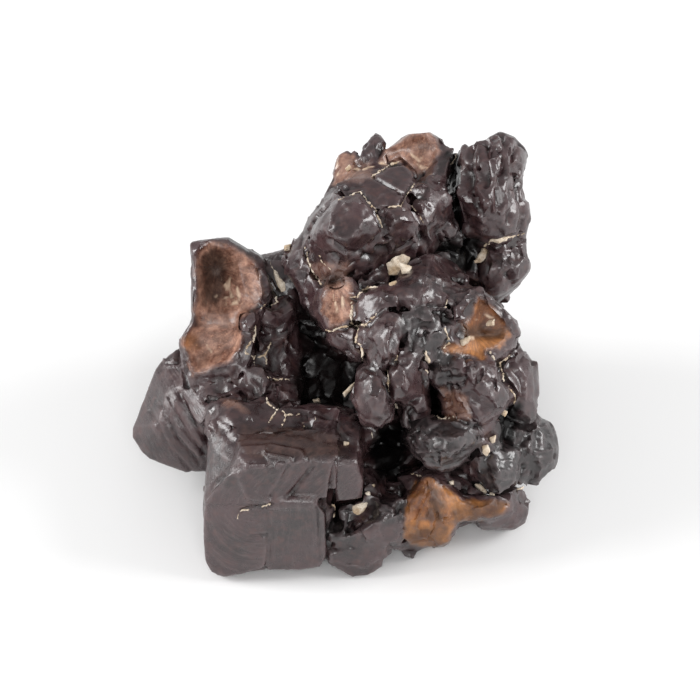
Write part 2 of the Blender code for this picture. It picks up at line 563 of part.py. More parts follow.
# The heart of the stone, and the ground between the crystals that is seen through their gaps.
HEART = {
    "heart": dict(width=1.0, depth=24, taper=0.62, corners=[
        (-36, 12, -11), (-22, 20, -12), (-6, 34, -12), (22, 42, -16), (34, 36, -18), (36, 18, -14),
        (36, -6, -10), (34, -26, -6), (16, -40, 2), (-4, -44, 4), (-28, -34, -4), (-38, -14, -10),
    ]),
    "pocket_floor": dict(depth=14, corners=[
        (-14, 6, -8), (-2, 8, -8), (4, -4, -9), (2, -14, -4), (-6, -17, 2), (-14, -12, -2),
    ]),
    "ground_trough": dict(corners=[
        (-37, -9, 7), (-26, 4, 7), (-13, 10, 1), (-14, -8, 3), (-14, -16, 11), (-34, -18, 13),
    ]),
    "ground_middle": dict(corners=[
        (-6, 20, 11), (10, 24, 9), (28, 17, 12), (36, 8, 12), (34, -3, 14), (26, -4, 17),
        (12, -2, 19), (4, 4, 15), (-4, 8, 11),
    ]),
    "ground_right": dict(corners=[
        (25, -5, 16), (36, -6, 14), (44, -16, 3), (44, -28, 2), (38, -34, 5), (30, -28, 9),
        (26, -18, 13),
    ]),
    "ground_low": dict(corners=[
        (-2, -36, 8), (14, -34, 9), (30, -29, 9), (40, -36, 5), (24, -46, 8), (6, -50, 9),
    ]),
    "ground_top": dict(corners=[
        (-9, 34, 6), (4, 44, 4), (22, 40, 4), (25, 27, 1), (8, 21, 9), (-9, 23, 8),
    ]),
}

# Cubes of the far side and the underside: place of the middle and edge length in mm, and turns
# about X, Y and Z in degrees.
FAR_CUBES = {
    "base_left_end": ((-40.5, 6, 9), 15, (14, 8, 40)),
    "base_left": ((-30.5, 15, 12), 21, (-6, 10, 28)),
    "base_back_left": ((-13.5, 25, 11), 20, (9, 6, -20)),
    "base_back": ((5.5, 24, 14), 23, (8, -5, 12)),
    "base_back_right": ((24.5, 18, 12), 21, (5, 12, -22)),
    "base_right_end": ((35.5, 5, 10), 16, (-10, 14, 24)),
    "base_right": ((27.5, -11, 10), 17, (12, -8, 40)),
    "waist_left_end": ((-30.5, 16, 27), 14, (20, 25, 10)),
    "waist_left": ((-24.5, 23, 26), 16, (12, -16, 14)),
    "waist_back_left": ((-11.5, 28, 30), 19, (-15, 12, 38)),
    "waist_back": ((7.5, 30, 31), 22, (24, 10, 30)),
    "waist_back_right": ((26.5, 28, 28), 19, (-14, 6, 30)),
    "waist_right_end": ((32.5, 19, 22), 13, (25, 20, 5)),
    "crown_back": ((16.5, 35, 46), 16, (20, 30, 10)),
    "crown_right": ((33.5, 34, 43), 15, (10, -12, 34)),
    "crown_left": ((1.5, 33, 45), 15, (30, 14, 50)),
    "crown_left_end": ((-8.5, 26, 37), 11, (10, 30, 20)),
    "keel": ((2.5, -15, 10), 22, (4, 3, 35)),
    "keel_left": ((-18.5, -12, 10), 20, (-5, 4, 10)),
}

# Small cubes grow on the corners of the far ones: how many on each, their share of its edge, and how
# many degrees they are swung from it.
BUDS_EACH = 1
BUD_SHARE = (0.30, 0.44)
BUD_SWING = 25

# Where a bud sits, as a share of the edge out along each axis of its cube, on the corners that point
# most this way.
BUD_PLACE = 0.42
BACKWARD = Vector((0, 1, 0.2))

# The far cubes that are larger than this, in mm, have edges worn this many mm wide.
FAR_LARGE = 21
FAR_WORN = 0.9

# How far a far cube's corners are out of true, and where its growth step is set in and raised, all
# as shares of its edge.
OUT_OF_TRUE = 0.07
STEP_INSET = 0.14
STEP_RAISE = 0.045

# Broken crystals are hollow: middle of the hollow as the eye sees it, its half-sizes in mm across,
# up and along the sight line, and its turn in the sight plane in degrees.
HOLLOWS = {
    "cup_hollow": ((-31.6, 16.2, 12), (6.6, 8.6, 9), 8),
    "cup_lip": ((-25.5, 14.5, 12.5), (3.6, 5.6, 4.5), 12),
    "scoop_hollow": ((-35.2, 1.6, 16.5), (6.0, 5.6, 5.6), -10),
    "scoop_tip": ((-37.0, -4.2, 15.5), (3.2, 4.6, 4.2), 12),
    "bowl_hollow": ((15.8, 48.2, 6.5), (7.2, 6.4, 9.0), -12),
    "bowl_notch": ((9.5, 48.5, 3), (3.4, 3.4, 4.0), 0),
    "tan_dish": ((-3.8, 11.8, 29.5), (5.2, 6.6, 4.4), -8),
    "tan_pit": ((-3.6, 17.2, 21), (2.6, 2.2, 3.4), 0),
    "star_dish": ((33.0, 3.6, 27.5), (8.0, 4.2, 5.2), -6),
    "star_arm_up": ((31.2, 8.0, 27.5), (3.0, 5.2, 4.2), 18),
    "star_arm_low": ((30.2, 0.2, 30), (6.4, 2.6, 3.6), -6),
    "rust_dish": ((17.0, -41.5, 26.4), (2.6, 5.0, 3.0), -14),
    "rust_side_dish": ((23.5, -38.6, 25.6), (3.4, 3.6, 3.2), 20),
}

# Faces round each hollow's cutter and from its front to its back.
HOLLOW_ROUND = 10
HOLLOW_RINGS = 6


def shown_crystals(group):
    for area, lean in SHOWN_SIDE + ((HEART, AWAY),):
        for name, shape in area.items():
            crystal(group, name, **{"lean": lean, **shape})


def spun(turn):
    """The turn matrix for degrees about X, Y and Z."""
    return Euler([math.radians(a) for a in turn]).to_matrix()


def rough_cube(middle, edge, turn, dice, width):
    """A cube with corners a little out of true, worn edges and one raised growth step."""
    mesh = bmesh.new()
    bmesh.ops.create_cube(mesh, size=edge)
    for vert in mesh.verts:
        vert.co += Vector([dice.uniform(-OUT_OF_TRUE, OUT_OF_TRUE) * edge for _ in range(3)])
    face = dice.choice(list(mesh.faces))
    bmesh.ops.inset_region(mesh, faces=[face], thickness=edge * STEP_INSET, depth=edge * STEP_RAISE)
    if width:
        wear_edges(mesh, width, set(mesh.verts))
    mesh.transform(Matrix.Translation(middle) @ spun(turn).to_4x4())
    bmesh.ops.recalc_face_normals(mesh, faces=mesh.faces)
    bmesh.ops.triangulate(mesh, faces=mesh.faces)
    return mesh


def far_crystals(group):
    """The far side's cubes, each with a few small ones on the corners that point outwards."""
    dice = random.Random(SEED)
    for name, (place, edge, turn) in FAR_CUBES.items():
        middle = Vector(place)
        width = FAR_WORN if edge > FAR_LARGE else 0.0
        keep(rough_cube(middle, edge, turn, dice, width), name, group)
        signs = itertools.product((-1, 1), repeat=3)
        corners = [spun(turn) @ Vector(sign) * edge * BUD_PLACE for sign in signs]
        outward = sorted(corners, key=lambda c: -c.dot(BACKWARD))
        for number, corner in enumerate(outward[:BUDS_EACH]):
            small = edge * dice.uniform(*BUD_SHARE)
            swung = [a + dice.uniform(-BUD_SWING, BUD_SWING) for a in turn]
            keep(rough_cube(middle + corner, small, swung, dice, 0.0), f"{name}_bud_{number}", group)


def hollow_cutters(group):
    """Rounded cutters, one for each broken-open hollow."""
    facing = Matrix((RIGHT, UP, NEAR)).transposed().to_4x4()
    for name, (place, half, turn) in HOLLOWS.items():
        mesh = bmesh.new()
        bmesh.ops.create_uvsphere(mesh, u_segments=HOLLOW_ROUND, v_segments=HOLLOW_RINGS, radius=1)
        mesh.transform(
            Matrix.Translation(seen(*place)) @ facing @ Matrix.Rotation(math.radians(turn), 4, "Z")
            @ Matrix.Diagonal((*half, 1))
        )
        bmesh.ops.triangulate(mesh, faces=mesh.faces)
        keep(mesh, name, group)


def table_cutter(group):
    """A slab below the table, which trims flat rests on the lowest crystals."""
    mesh = bmesh.new()
    bmesh.ops.create_cube(mesh, size=1)
    for vert in mesh.verts:
        vert.co.x *= TABLE_WIDTH
        vert.co.y *= TABLE_WIDTH
        vert.co.z = (vert.co.z - 0.5) * TABLE_SLAB
    keep(mesh, "table", group)


def boolean(thing, operation, group):
    """Applies one Boolean of a whole collection to an object."""
    cut = thing.modifiers.new(operation.lower(), "BOOLEAN")
    cut.operation = operation
    cut.operand_type = "COLLECTION"
    cut.collection = group
    cut.solver = "EXACT"
    made = bpy.data.meshes.new_from_object(thing.evaluated_get(bpy.context.evaluated_depsgraph_get()))
    thing.modifiers.clear()
    thing.data = made


def fill_sealed_pockets(thing):
    """Keeps the outer skin and drops the walls of pockets sealed between crystals."""
    mesh = bmesh.new()
    mesh.from_mesh(thing.data)
    waiting = set(mesh.faces)
    skins = []
    while waiting:
        front = [waiting.pop()]
        skin = list(front)
        while front:
            for edge in front.pop().edges:
                for face in edge.link_faces:
                    if face in waiting:
                        waiting.remove(face)
                        front.append(face)
                        skin.append(face)
        skins.append(skin)
    skins.sort(key=len)
    bmesh.ops.delete(mesh, geom=[f for skin in skins[:-1] for f in skin], context="FACES")
    mesh.to_mesh(thing.data)
    mesh.free()


def centre_on_table(thing):
    """Puts the middle of the stone's outline, seen from above, over the origin."""
    spots = [v.co.xy for v in thing.data.vertices]
    middle = [(min(s[i] for s in spots) + max(s[i] for s in spots)) / 2 for i in (0, 1)]
    thing.data.transform(Matrix.Translation((-middle[0], -middle[1], 0)))


def build():
    clear_scene()
    stone = new_collection("iron_oxide_concretion")
    growth = new_collection("crystals", hidden=True)
    hollows = new_collection("hollows", hidden=True)
    table = new_collection("table", hidden=True)
    shown_crystals(growth)
    far_crystals(growth)
    hollow_cutters(hollows)
    table_cutter(table)

    concretion = growth.objects["heart"]
    growth.objects.unlink(concretion)
    stone.objects.link(concretion)
    concretion.name = "concretion"
    concretion.display_type = "TEXTURED"
    bpy.context.view_layer.update()
    boolean(concretion, "UNION", growth)
    boolean(concretion, "DIFFERENCE", hollows)
    boolean(concretion, "DIFFERENCE", table)
    fill_sealed_pockets(concretion)
    centre_on_table(concretion)
    concretion.data.materials.clear()
    concretion.data.materials.append(iron_oxide())


build()
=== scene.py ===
import itertools
import math
import random

import bmesh
import bpy
import numpy as np
from mathutils import Matrix, Vector
from mathutils.bvhtree import BVHTree


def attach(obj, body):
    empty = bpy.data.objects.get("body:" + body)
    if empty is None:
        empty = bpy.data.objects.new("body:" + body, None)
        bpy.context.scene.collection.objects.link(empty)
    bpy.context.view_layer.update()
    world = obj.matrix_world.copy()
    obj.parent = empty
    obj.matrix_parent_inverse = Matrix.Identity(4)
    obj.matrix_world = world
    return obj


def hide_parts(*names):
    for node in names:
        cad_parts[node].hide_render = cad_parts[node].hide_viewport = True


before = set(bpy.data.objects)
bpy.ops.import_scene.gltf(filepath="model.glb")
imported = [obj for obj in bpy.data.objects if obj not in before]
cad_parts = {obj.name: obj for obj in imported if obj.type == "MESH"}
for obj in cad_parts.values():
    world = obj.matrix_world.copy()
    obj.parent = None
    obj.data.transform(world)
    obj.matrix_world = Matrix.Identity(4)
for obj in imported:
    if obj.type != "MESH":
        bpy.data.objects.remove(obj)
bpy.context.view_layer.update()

# The stone: one lump of goethite and hematite grown after pyrite cubes. Blocky crystals, broken
# hollow shells and slag-like lumps are grown together. Here small crystals are added to the solid
# part, all is fused into one skin, and the skin is chipped, hollowed, grooved and worn, with painted
# highlights on its edges and painted shade in its recesses and pockets.

MM = 0.001

# The eye that the stone's forms are laid out for, and the middle of its sight plane. What it sees is
# a field of 700 steps each way, a quarter of a millimetre each on the sight plane.
EYE_RISE = math.radians(40)
EYE_DISTANCE = 600.0
SIGHT_MIDDLE = Vector((1.31, -2.69, 35.0))
RIGHT = Vector((1, 0, 0))
UP = Vector((0, math.sin(EYE_RISE), math.cos(EYE_RISE)))
NEAR = Vector((0, -math.cos(EYE_RISE), math.sin(EYE_RISE)))
EYE = SIGHT_MIDDLE + NEAR * EYE_DISTANCE
FIELD = 700
STEP = 0.25


def seen(across, up, near):
    """The true place, in mm, of a point given as the eye sees it."""
    shrink = 1 - near / EYE_DISTANCE
    return SIGHT_MIDDLE + RIGHT * (across * shrink) + UP * (up * shrink) + NEAR * near


def as_seen(points):
    """Steps across and down the field, and mm nearer, for rows of true places in mm."""
    away = points - np.array(SIGHT_MIDDLE)
    near = away @ np.array(NEAR)
    scale = 1 / (STEP * (1 - near / EYE_DISTANCE))
    across = FIELD / 2 + away @ np.array(RIGHT) * scale
    down = FIELD / 2 - away @ np.array(UP) * scale
    return np.column_stack((across, down, near))


def spot(x, y, near):
    """The true place, in mm, of steps across and down the field."""
    return seen((x - FIELD / 2) * STEP, (FIELD / 2 - y) * STEP, near)


def add_hull(mesh, points):
    """Adds a closed crystal round some points to a bmesh."""
    corners = [mesh.verts.new(p) for p in points]
    made = bmesh.ops.convex_hull(mesh, input=corners)
    inside = [v for v in made["geom_interior"] if isinstance(v, bmesh.types.BMVert)]
    bmesh.ops.delete(mesh, geom=inside, context="VERTS")


def surface_near(tree, x, y):
    """How near to the eye the surface is at a spot of the field, or None off the stone."""
    hit, _, _, _ = tree.ray_cast(EYE, (spot(x, y, 0) - EYE).normalized())
    return None if hit is None else (hit - SIGHT_MIDDLE).dot(NEAR)


FIT_ROUNDS = 3
FIT_MISS = 2.0
FIT_PERCENT = 60
FIT_FEWEST = 4


def plane_through(tree, outline):
    """A flat laid through the surface along an outline: its slopes and height, as three numbers.

    Spots that lie far behind the flat are on another crystal, and are left out of the next round.
    """
    rows = []
    heights = []
    for (ax, ay), (bx, by) in zip(outline, outline[1:] + outline[:1]):
        for share in (0, 0.5):
            x, y = ax + (bx - ax) * share, ay + (by - ay) * share
            near = surface_near(tree, x, y)
            if near is not None:
                rows.append((x, y, 1))
                heights.append(near)
    rows, heights = np.array(rows, dtype=float), np.array(heights)
    for _ in range(FIT_ROUNDS):
        fit = np.linalg.lstsq(rows, heights, rcond=None)[0]
        miss = rows @ fit - heights
        kept = miss < max(FIT_MISS, np.percentile(np.abs(miss), FIT_PERCENT))
        if kept.sum() < FIT_FEWEST:
            break
        rows, heights = rows[kept], heights[kept]
    return fit


stone_mesh = bmesh.new()
stone_mesh.from_mesh(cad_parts["concretion"].data)
bmesh.ops.remove_doubles(stone_mesh, verts=stone_mesh.verts, dist=1e-6)
stone_mesh.transform(Matrix.Scale(1 / MM, 4))
bare_tree = BVHTree.FromBMesh(stone_mesh)

# Small crystals in the gaps between the large ones: steps across and down, and how near, of each
# corner. Each runs back this far, in mm, from its shown corners, and tapers by this share.
FILLER_DEPTH = 9
FILLER_TAPER = 0.95
FILLERS = {
    "rough_low": [(428, 352, 29), (440, 349, 30), (455, 356, 29), (463, 375, 27), (455, 392, 25),
                  (444, 396, 24), (432, 380, 26), (426, 366, 27), (443, 368, 30.5)],
    "prop_left": [(450, 357, 30), (462, 358, 30.5), (466, 368, 30), (463, 383, 28), (452, 380, 27),
                  (446, 366, 28), (457, 366, 32)],
    "prop_mid": [(463, 359, 30), (471, 358, 30), (477, 366, 29), (473, 384, 28), (464, 382, 28),
                 (468, 370, 31)],
    "prop_right": [(471, 358, 30), (480, 360, 30), (486, 368, 28), (485, 379, 27), (477, 377, 28),
                   (480, 366, 31.5)],
    "facet_left": [(461, 385, 28), (483, 382, 31.5), (497, 407, 29.5), (485, 423, 26),
                   (477, 423, 25.5), (467, 406, 26.5), (458, 393, 27)],
    "facet_right": [(483, 382, 31.5), (487, 370, 30.5), (493, 367, 29.5), (502, 379, 27),
                    (516, 399, 23.5), (508, 408, 24.5), (497, 407, 29.5)],
    "facet_peak": [(486, 372, 30), (492, 365, 29.5), (500, 362, 27), (503, 380, 27), (492, 384, 31)],
    "pebble": [(452, 389, 27), (460, 388, 28), (464, 396, 27.5), (460, 403, 27), (452, 400, 26),
               (457, 395, 29)],
    "brown_floor": [(444, 400, 23), (458, 403, 25), (468, 408, 25.5), (476, 424, 25), (462, 424, 25),
                    (446, 420, 23)],
    "cheek_upper": [(455, 415, 26), (470, 412, 26.5), (478, 424, 25.5), (476, 436, 25),
                    (460, 440, 26), (450, 430, 26)],
    "pink_lump": [(352, 303, 26), (361, 299, 27), (369, 304, 28), (370, 313, 29), (364, 321, 29),
                  (356, 323, 28), (352, 315, 27), (361, 310, 29.5)],
    "ridge_face": [(398, 353, 32.5), (411, 350, 32), (426, 356, 29.5), (429, 380, 28.5),
                   (427, 396, 28.5), (412, 399, 31), (405, 392, 36), (400, 366, 36.5)],
    "ridge_left": [(389, 372, 32.5), (395, 364, 34), (400, 366, 36.5), (405, 391, 36),
                   (400, 397, 34), (389, 397, 31), (387, 385, 31.5)],
    "prow_left": [(362, 330, 29.5), (372, 318, 31), (385, 312, 32), (392, 322, 36), (388, 345, 37.5),
                  (390, 362, 36), (380, 364, 33), (369, 358, 31.5), (363, 346, 29.5)],
    "tooth": [(401, 399, 28), (428, 396, 27.5), (429, 410, 26), (424, 421, 24), (404, 422, 25),
              (412, 405, 30)],
    "cube_low_left": [(203, 522, 20.5), (206, 502, 25), (214, 490, 28), (227, 476, 32.2),
                      (240, 470, 34.3), (268, 470, 35), (272, 500, 30.6), (268, 545, 22.4),
                      (265, 567, 17.8), (245, 573, 16), (224, 577, 14.5), (211, 572, 14.3),
                      (204, 558, 15.5)],
    "cube_low_right": [(286, 499, 28.6), (316, 499, 28), (282, 505, 30.2), (318, 505, 29.6),
                       (325, 514, 26.8), (326, 556, 17.5), (320, 567, 15.8), (300, 570, 15.6),
                       (266, 570, 16), (267, 545, 21.2), (270, 508, 29.2)],
    "red_slope": [(222, 399, 17), (240, 402, 19), (252, 409, 20), (252, 422, 23), (236, 428, 24),
                  (222, 421, 22)],
    "gap_tooth_a": [(355, 503, 19), (372, 498, 19), (376, 512, 20), (366, 522, 20), (352, 520, 19)],
    "gap_tooth_b": [(340, 505, 18), (352, 506, 19), (352, 524, 19), (342, 528, 18)],
    "gap_tooth_c": [(386, 498, 20), (403, 500, 20), (403, 520, 21), (388, 522, 21), (380, 510, 20)],
    "low_cleft_a": [(470, 462, 18), (482, 455, 20), (490, 465, 20), (485, 480, 18), (472, 478, 16)],
    "horn": [(361, 166, 3), (364, 151, 0), (368, 140, -2), (373, 133, -3), (380, 134, -3),
             (384, 147, -1), (388, 165, 3), (374, 150, 3)],
    "crust_nub": [(333, 178, 1), (335, 162, -1), (340, 152, -2), (349, 150, -2), (356, 157, -2),
                  (359, 167, 3), (351, 177, 5), (340, 183, 3), (346, 161, 2)],
    "crust_band": [(352, 162, 1), (366, 160, 1), (378, 164, 3), (374, 176, 8), (352, 178, 7)],
    "rib_one": [(463, 149, 1), (471, 142, 3), (478, 144, 4), (480, 165, 6), (476, 186, 6),
                (466, 182, 4), (462, 165, 2), (471, 160, 8)],
    "rib_two": [(480, 140, 3), (490, 135, 3), (495, 140, 5), (497, 165, 9), (493, 188, 9),
                (483, 186, 8), (480, 165, 7), (488, 160, 10)],
    "rib_three": [(498, 138, 2), (508, 133, 1), (513, 140, 3), (512, 165, 7), (508, 182, 6),
                  (498, 180, 8), (504, 152, 8)],
    "rib_four": [(514, 142, 1), (522, 146, -2), (527, 156, -4), (524, 172, -2), (514, 182, 4),
                 (511, 170, 6), (518, 158, 3)],
    "claw_left": [(459, 190, 6), (466, 187, 8), (474, 203, 11), (480, 220, 8), (474, 224, 6),
                  (464, 214, 6), (460, 200, 6)],
    "claw_mid": [(477, 187, 9), (486, 190, 11), (490, 205, 12), (486, 220, 10), (480, 216, 8),
                 (478, 200, 9)],
    "claw_right": [(492, 190, 9), (504, 188, 8), (510, 200, 8), (506, 216, 6), (494, 220, 8),
                   (491, 205, 10)],
    "flank_right": [(510, 186, 5), (524, 187, -1), (530, 205, -3), (532, 220, -4), (526, 232, -3),
                    (510, 234, 3), (508, 210, 6)],
    "skirt": [(463, 224, 4), (480, 223, 6), (506, 219, 5), (513, 234, 2), (495, 240, 3), (475, 238, 2),
              (464, 234, 3)],
    "right_bridge": [(462, 172, 4), (480, 174, 7), (495, 174, 10), (510, 172, 7), (513, 202, 7),
                     (495, 206, 10), (478, 204, 10), (462, 200, 6)],
    "slot_fill": [(264, 498, 31.2), (318, 496, 30.6), (316, 504, 30.8), (318, 509, 29.4),
                  (266, 510, 30), (284, 504, 30.9)],
    "wrinkled_low": [(357, 408, 31.5), (364, 405, 35), (376, 412, 36.6), (391, 408, 34.5),
                     (388, 420, 32.5), (382, 429, 29.5), (370, 424, 31), (360, 416, 31)],
    "star_rim": [(484, 290, 23.5), (492, 298, 22.8), (508, 312, 20.6), (519, 326, 18.4),
                 (519, 338, 18), (514, 334, 20.6), (504, 318, 22.8), (490, 305, 24.2)],
    "cup_lip": [(188, 250, 10), (193, 243, 9.5), (201, 239, 9.5), (209, 240, 10), (207, 247, 11.5),
                (200, 252, 12.5), (194, 256, 12)],
    "cup_rim_high": [(228, 240, 8), (243, 247, 7.5), (257, 257, 7), (263, 266, 7), (257, 268, 9),
                     (248, 257, 9.5), (236, 249, 9.5), (228, 246, 9)],
    "cup_rim_low": [(259, 262, 6.5), (266, 275, 6.5), (270, 292, 7.5), (267, 305, 10), (261, 304, 11),
                    (262, 290, 10.5), (259, 274, 9)],
    "cup_knob": [(189, 243, 9), (200, 239, 10), (206, 247, 9), (201, 259, 9), (191, 258, 9),
                 (197, 248, 12.5)],
    "plug_a": [(386, 303, 22), (404, 302, 23), (407, 316, 25), (392, 319, 26)],
    "plug_b": [(346, 319, 20), (360, 317, 22), (363, 333, 24), (349, 335, 21)],
    "plug_c": [(394, 340, 25), (409, 338, 26), (411, 354, 27), (397, 355, 27)],
}

# Flats, plates and ribs on the large crystals: how far each stands out of a flat laid through the
# surface, how deep it runs, and steps across and down, with a further rise where a third is given.
PLATE_SPREAD = 1.05
PLATES = {
    "plate_top": (1.0, 3, [(373, 176), (400, 161), (414, 174), (414, 183), (406, 195), (392, 187)]),
    "plate_band": (0.7, 4, [(334, 181), (346, 175), (373, 177), (392, 188), (405, 197), (400, 205),
                            (388, 207), (378, 209), (368, 203), (345, 195)]),
    "boulder_facet": (0.9, 4, [(328, 222), (338, 207), (350, 201), (360, 203), (364, 213),
                               (361, 229), (352, 239), (341, 239), (331, 232)]),
    "boulder_right": (0.5, 4, [(362, 198), (372, 207), (378, 216), (382, 228), (374, 238),
                               (364, 228), (366, 212)]),
    "boulder_low": (0.4, 4, [(330, 238), (345, 243), (362, 241), (374, 238), (370, 250), (352, 256),
                             (334, 252)]),
    "shield_face": (0.7, 4, [(384, 215), (390, 207), (402, 206), (412, 207), (423, 222), (418, 233),
                             (406, 239), (394, 235), (385, 227)]),
    "shield_foot": (0.6, 4, [(379, 241), (392, 238), (408, 242), (416, 240), (413, 250), (400, 254),
                             (386, 251)]),
    "slope_left": (0.5, 4, [(410, 190), (424, 183), (437, 190), (439, 207), (430, 224), (421, 214)]),
    "slope_right": (0.6, 4, [(440, 192), (451, 202), (455, 228), (448, 238), (441, 216)]),
    "grey_knob": (1.0, 4, [(428, 178), (437, 172), (446, 176), (444, 184), (432, 186)]),
    "light_facet": (0.6, 3, [(358, 254), (368, 248), (375, 254), (369, 261), (360, 260)]),
    "low_face": (0.5, 4, [(308, 249), (322, 240), (334, 250), (349, 257), (345, 268), (330, 272),
                          (318, 274), (311, 262)]),
    "left_facet": (0.6, 4, [(284, 262), (292, 250), (300, 247), (305, 255), (303, 268), (293, 276),
                            (285, 272)]),
    "step_a": (0.8, 4, [(318, 204), (330, 195), (340, 199), (334, 210), (322, 214)]),
    "step_b": (0.8, 4, [(303, 228), (310, 214), (320, 210), (324, 222), (314, 234), (306, 236)]),
    "bowl_flank": (0.6, 3, [(438, 152), (447, 147), (455, 153), (451, 165), (440, 177), (432, 178)]),
    "low_block_a": (0.7, 4, [(488, 250), (505, 246), (522, 246), (528, 258), (515, 266), (492, 268)]),
    "low_block_b": (0.6, 4, [(490, 270), (512, 268), (526, 264), (524, 276), (506, 288), (494, 290)]),
    "ledge_a": (0.2, 4, [(240, 446, 1.3), (266, 445, 1.3), (265, 450, 0.6), (243, 452, 0.6)]),
    "ledge_b": (0.2, 4, [(264, 452, 1.3), (292, 457, 1.3), (291, 461, 0.6), (268, 458, 0.6)]),
    "ledge_c": (0.2, 4, [(242, 464, 1.1), (266, 464, 1.1), (264, 469, 0.5), (246, 468, 0.5)]),
    "ledge_d": (0.2, 4, [(276, 463, 1.0), (287, 463, 1.0), (284, 468, 0.4), (276, 469, 0.4)]),
    "bevel": (0.5, 4, [(236, 457, 0.3), (247, 462, 0.5), (246, 471, 0.4), (228, 478, 0.4),
                       (223, 473, 0.2)]),
    "slab_a": (0.4, 4, [(240, 470), (285, 470), (280, 484), (268, 499), (235, 503), (222, 494),
                        (226, 482)]),
    "slab_b": (0.7, 4, [(288, 463), (312, 462), (300, 481), (288, 498), (272, 500), (282, 482)]),
    "slab_c": (0.5, 4, [(315, 462), (335, 463), (330, 482), (328, 498), (292, 498), (302, 482)]),
    "cube_nook": (0.5, 3, [(250, 541), (264, 540), (264, 546), (251, 547)]),
    "cube_flake": (0.4, 3, [(206, 515), (238, 512), (254, 528), (252, 560), (236, 572), (212, 566)]),
    "low_ledge": (0.5, 3, [(288, 500), (314, 499), (314, 505), (290, 506)]),
    "low_strip": (0.35, 3, [(292, 508), (300, 508), (300, 566), (292, 567)]),
    "rust_left": (0.9, 4, [(405, 522), (408, 499), (413, 486), (424, 480), (429, 491), (420, 508),
                           (414, 528)]),
    "rust_ridge": (1.0, 4, [(433, 482), (446, 488), (453, 500), (449, 516), (441, 520), (434, 504)]),
    "rust_tail": (0.6, 4, [(456, 502), (480, 505), (502, 506), (500, 512), (478, 518), (458, 517)]),
    "rust_low": (0.7, 4, [(432, 524), (446, 524), (450, 540), (438, 547), (430, 540)]),
    "wedge_top": (0.5, 4, [(165, 366), (181, 366), (183, 385), (178, 392), (168, 388)]),
    "wrinkled_high": (0.7, 4, [(361, 381), (370, 376), (380, 374), (382, 392), (370, 396),
                               (362, 392)]),
    "hanging_face": (0.6, 3, [(328, 334), (345, 330), (352, 340), (349, 350), (340, 350),
                              (330, 345)]),
    "grey_face": (0.6, 3, [(366, 290), (384, 289), (395, 294), (397, 306), (384, 309), (372, 302)]),
    "star_peak": (0.7, 3, [(452, 296), (470, 289), (476, 293), (466, 308), (455, 312)]),
    "coal_a": (0.8, 4, [(408, 436), (425, 428), (440, 432), (436, 446), (420, 450)]),
    "coal_b": (0.9, 4, [(440, 436), (458, 432), (466, 442), (452, 452), (440, 448)]),
    "coal_c": (0.7, 4, [(440, 455), (456, 454), (468, 458), (452, 468), (440, 466)]),
    "sill_front": (0.6, 4, [(328, 548), (345, 545), (372, 552), (380, 556), (366, 566), (345, 564),
                            (330, 558)]),
    "sill_wedge": (0.6, 4, [(358, 535), (372, 524), (396, 520), (402, 530), (397, 545), (384, 549),
                            (366, 543)]),
}

for corners in FILLERS.values():
    shown = [spot(*corner) for corner in corners]
    middle = sum(shown, Vector()) / len(shown)
    add_hull(stone_mesh, shown + [middle + (p - middle) * FILLER_TAPER - NEAR * FILLER_DEPTH for p in shown])
for lift, depth, corners in PLATES.values():
    slope_x, slope_y, height = plane_through(bare_tree, [corner[:2] for corner in corners])
    shown = []
    for x, y, *more in corners:
        shown.append(spot(x, y, slope_x * x + slope_y * y + height + lift + sum(more)))
    middle = sum(shown, Vector()) / len(shown)
    add_hull(stone_mesh, shown + [middle + (p - middle) * PLATE_SPREAD - NEAR * depth for p in shown])

stone_data = bpy.data.meshes.new("stone")
stone_mesh.to_mesh(stone_data)
stone_mesh.free()
stone = bpy.data.objects.new("stone", stone_data)
bpy.context.scene.collection.objects.link(stone)


def with_modifier(thing, kind, **settings):
    """Applies one modifier to an object's mesh."""
    added = thing.modifiers.new(kind.lower(), kind)
    for key, value in settings.items():
        setattr(added, key, value)
    graph = bpy.context.evaluated_depsgraph_get()
    made = bpy.data.meshes.new_from_object(thing.evaluated_get(graph))
    thing.modifiers.clear()
    thing.data = made


# One closed skin round all crystals, in cells of 0.40 mm.
SKIN_GRAIN = 0.40
with_modifier(stone, "REMESH", mode="VOXEL", voxel_size=SKIN_GRAIN)


def rows_of(data, name="co"):
    """The mesh's vertex places, or its vertex normals, as rows of three numbers."""
    values = np.empty(len(data.vertices) * 3)
    if name == "co":
        data.vertices.foreach_get("co", values)
    else:
        data.vertex_normals.foreach_get("vector", values)
    return values.reshape(-1, 3)


def edges_of(data):
    """The two vertices of each edge, as rows of numbers."""
    ends = np.empty(len(data.edges) * 2, dtype=np.int64)
    data.edges.foreach_get("vertices", ends)
    return ends.reshape(-1, 2)


def relaxed(values, edges, rounds, share=0.6):
    """Moves each vertex's values towards the mean of its neighbours' a few times."""
    one, other = edges[:, 0], edges[:, 1]
    count = np.bincount(edges.ravel(), minlength=len(values))[:, None]
    for _ in range(rounds):
        total = np.zeros_like(values)
        for column in range(values.shape[1]):
            total[:, column] = (
                np.bincount(one, values[other, column], len(values))
                + np.bincount(other, values[one, column], len(values))
            )
        values = values + (total / np.maximum(count, 1) - values) * share
    return values


# Large odd numbers scatter a grid spot and a seed, and the last bits of the outcome are kept.
SCATTER = (73856093, 19349663, 83492791)
SEED_SCATTER = 2654435761
STIR = 1274126177
STIRRED_BITS = 0x7FFFFFFF
KEPT_BITS = 0xFFFF


def lattice(cells, seed):
    """Pseudo-random numbers from 0 to 1 for rows of whole numbers."""
    x, y, z = cells.astype(np.int64).T
    mixed = x * SCATTER[0] ^ y * SCATTER[1] ^ z * SCATTER[2] ^ seed * SEED_SCATTER
    mixed = (mixed ^ (mixed >> 13)) * STIR & STIRRED_BITS
    return ((mixed ^ (mixed >> 15)) & KEPT_BITS) / KEPT_BITS


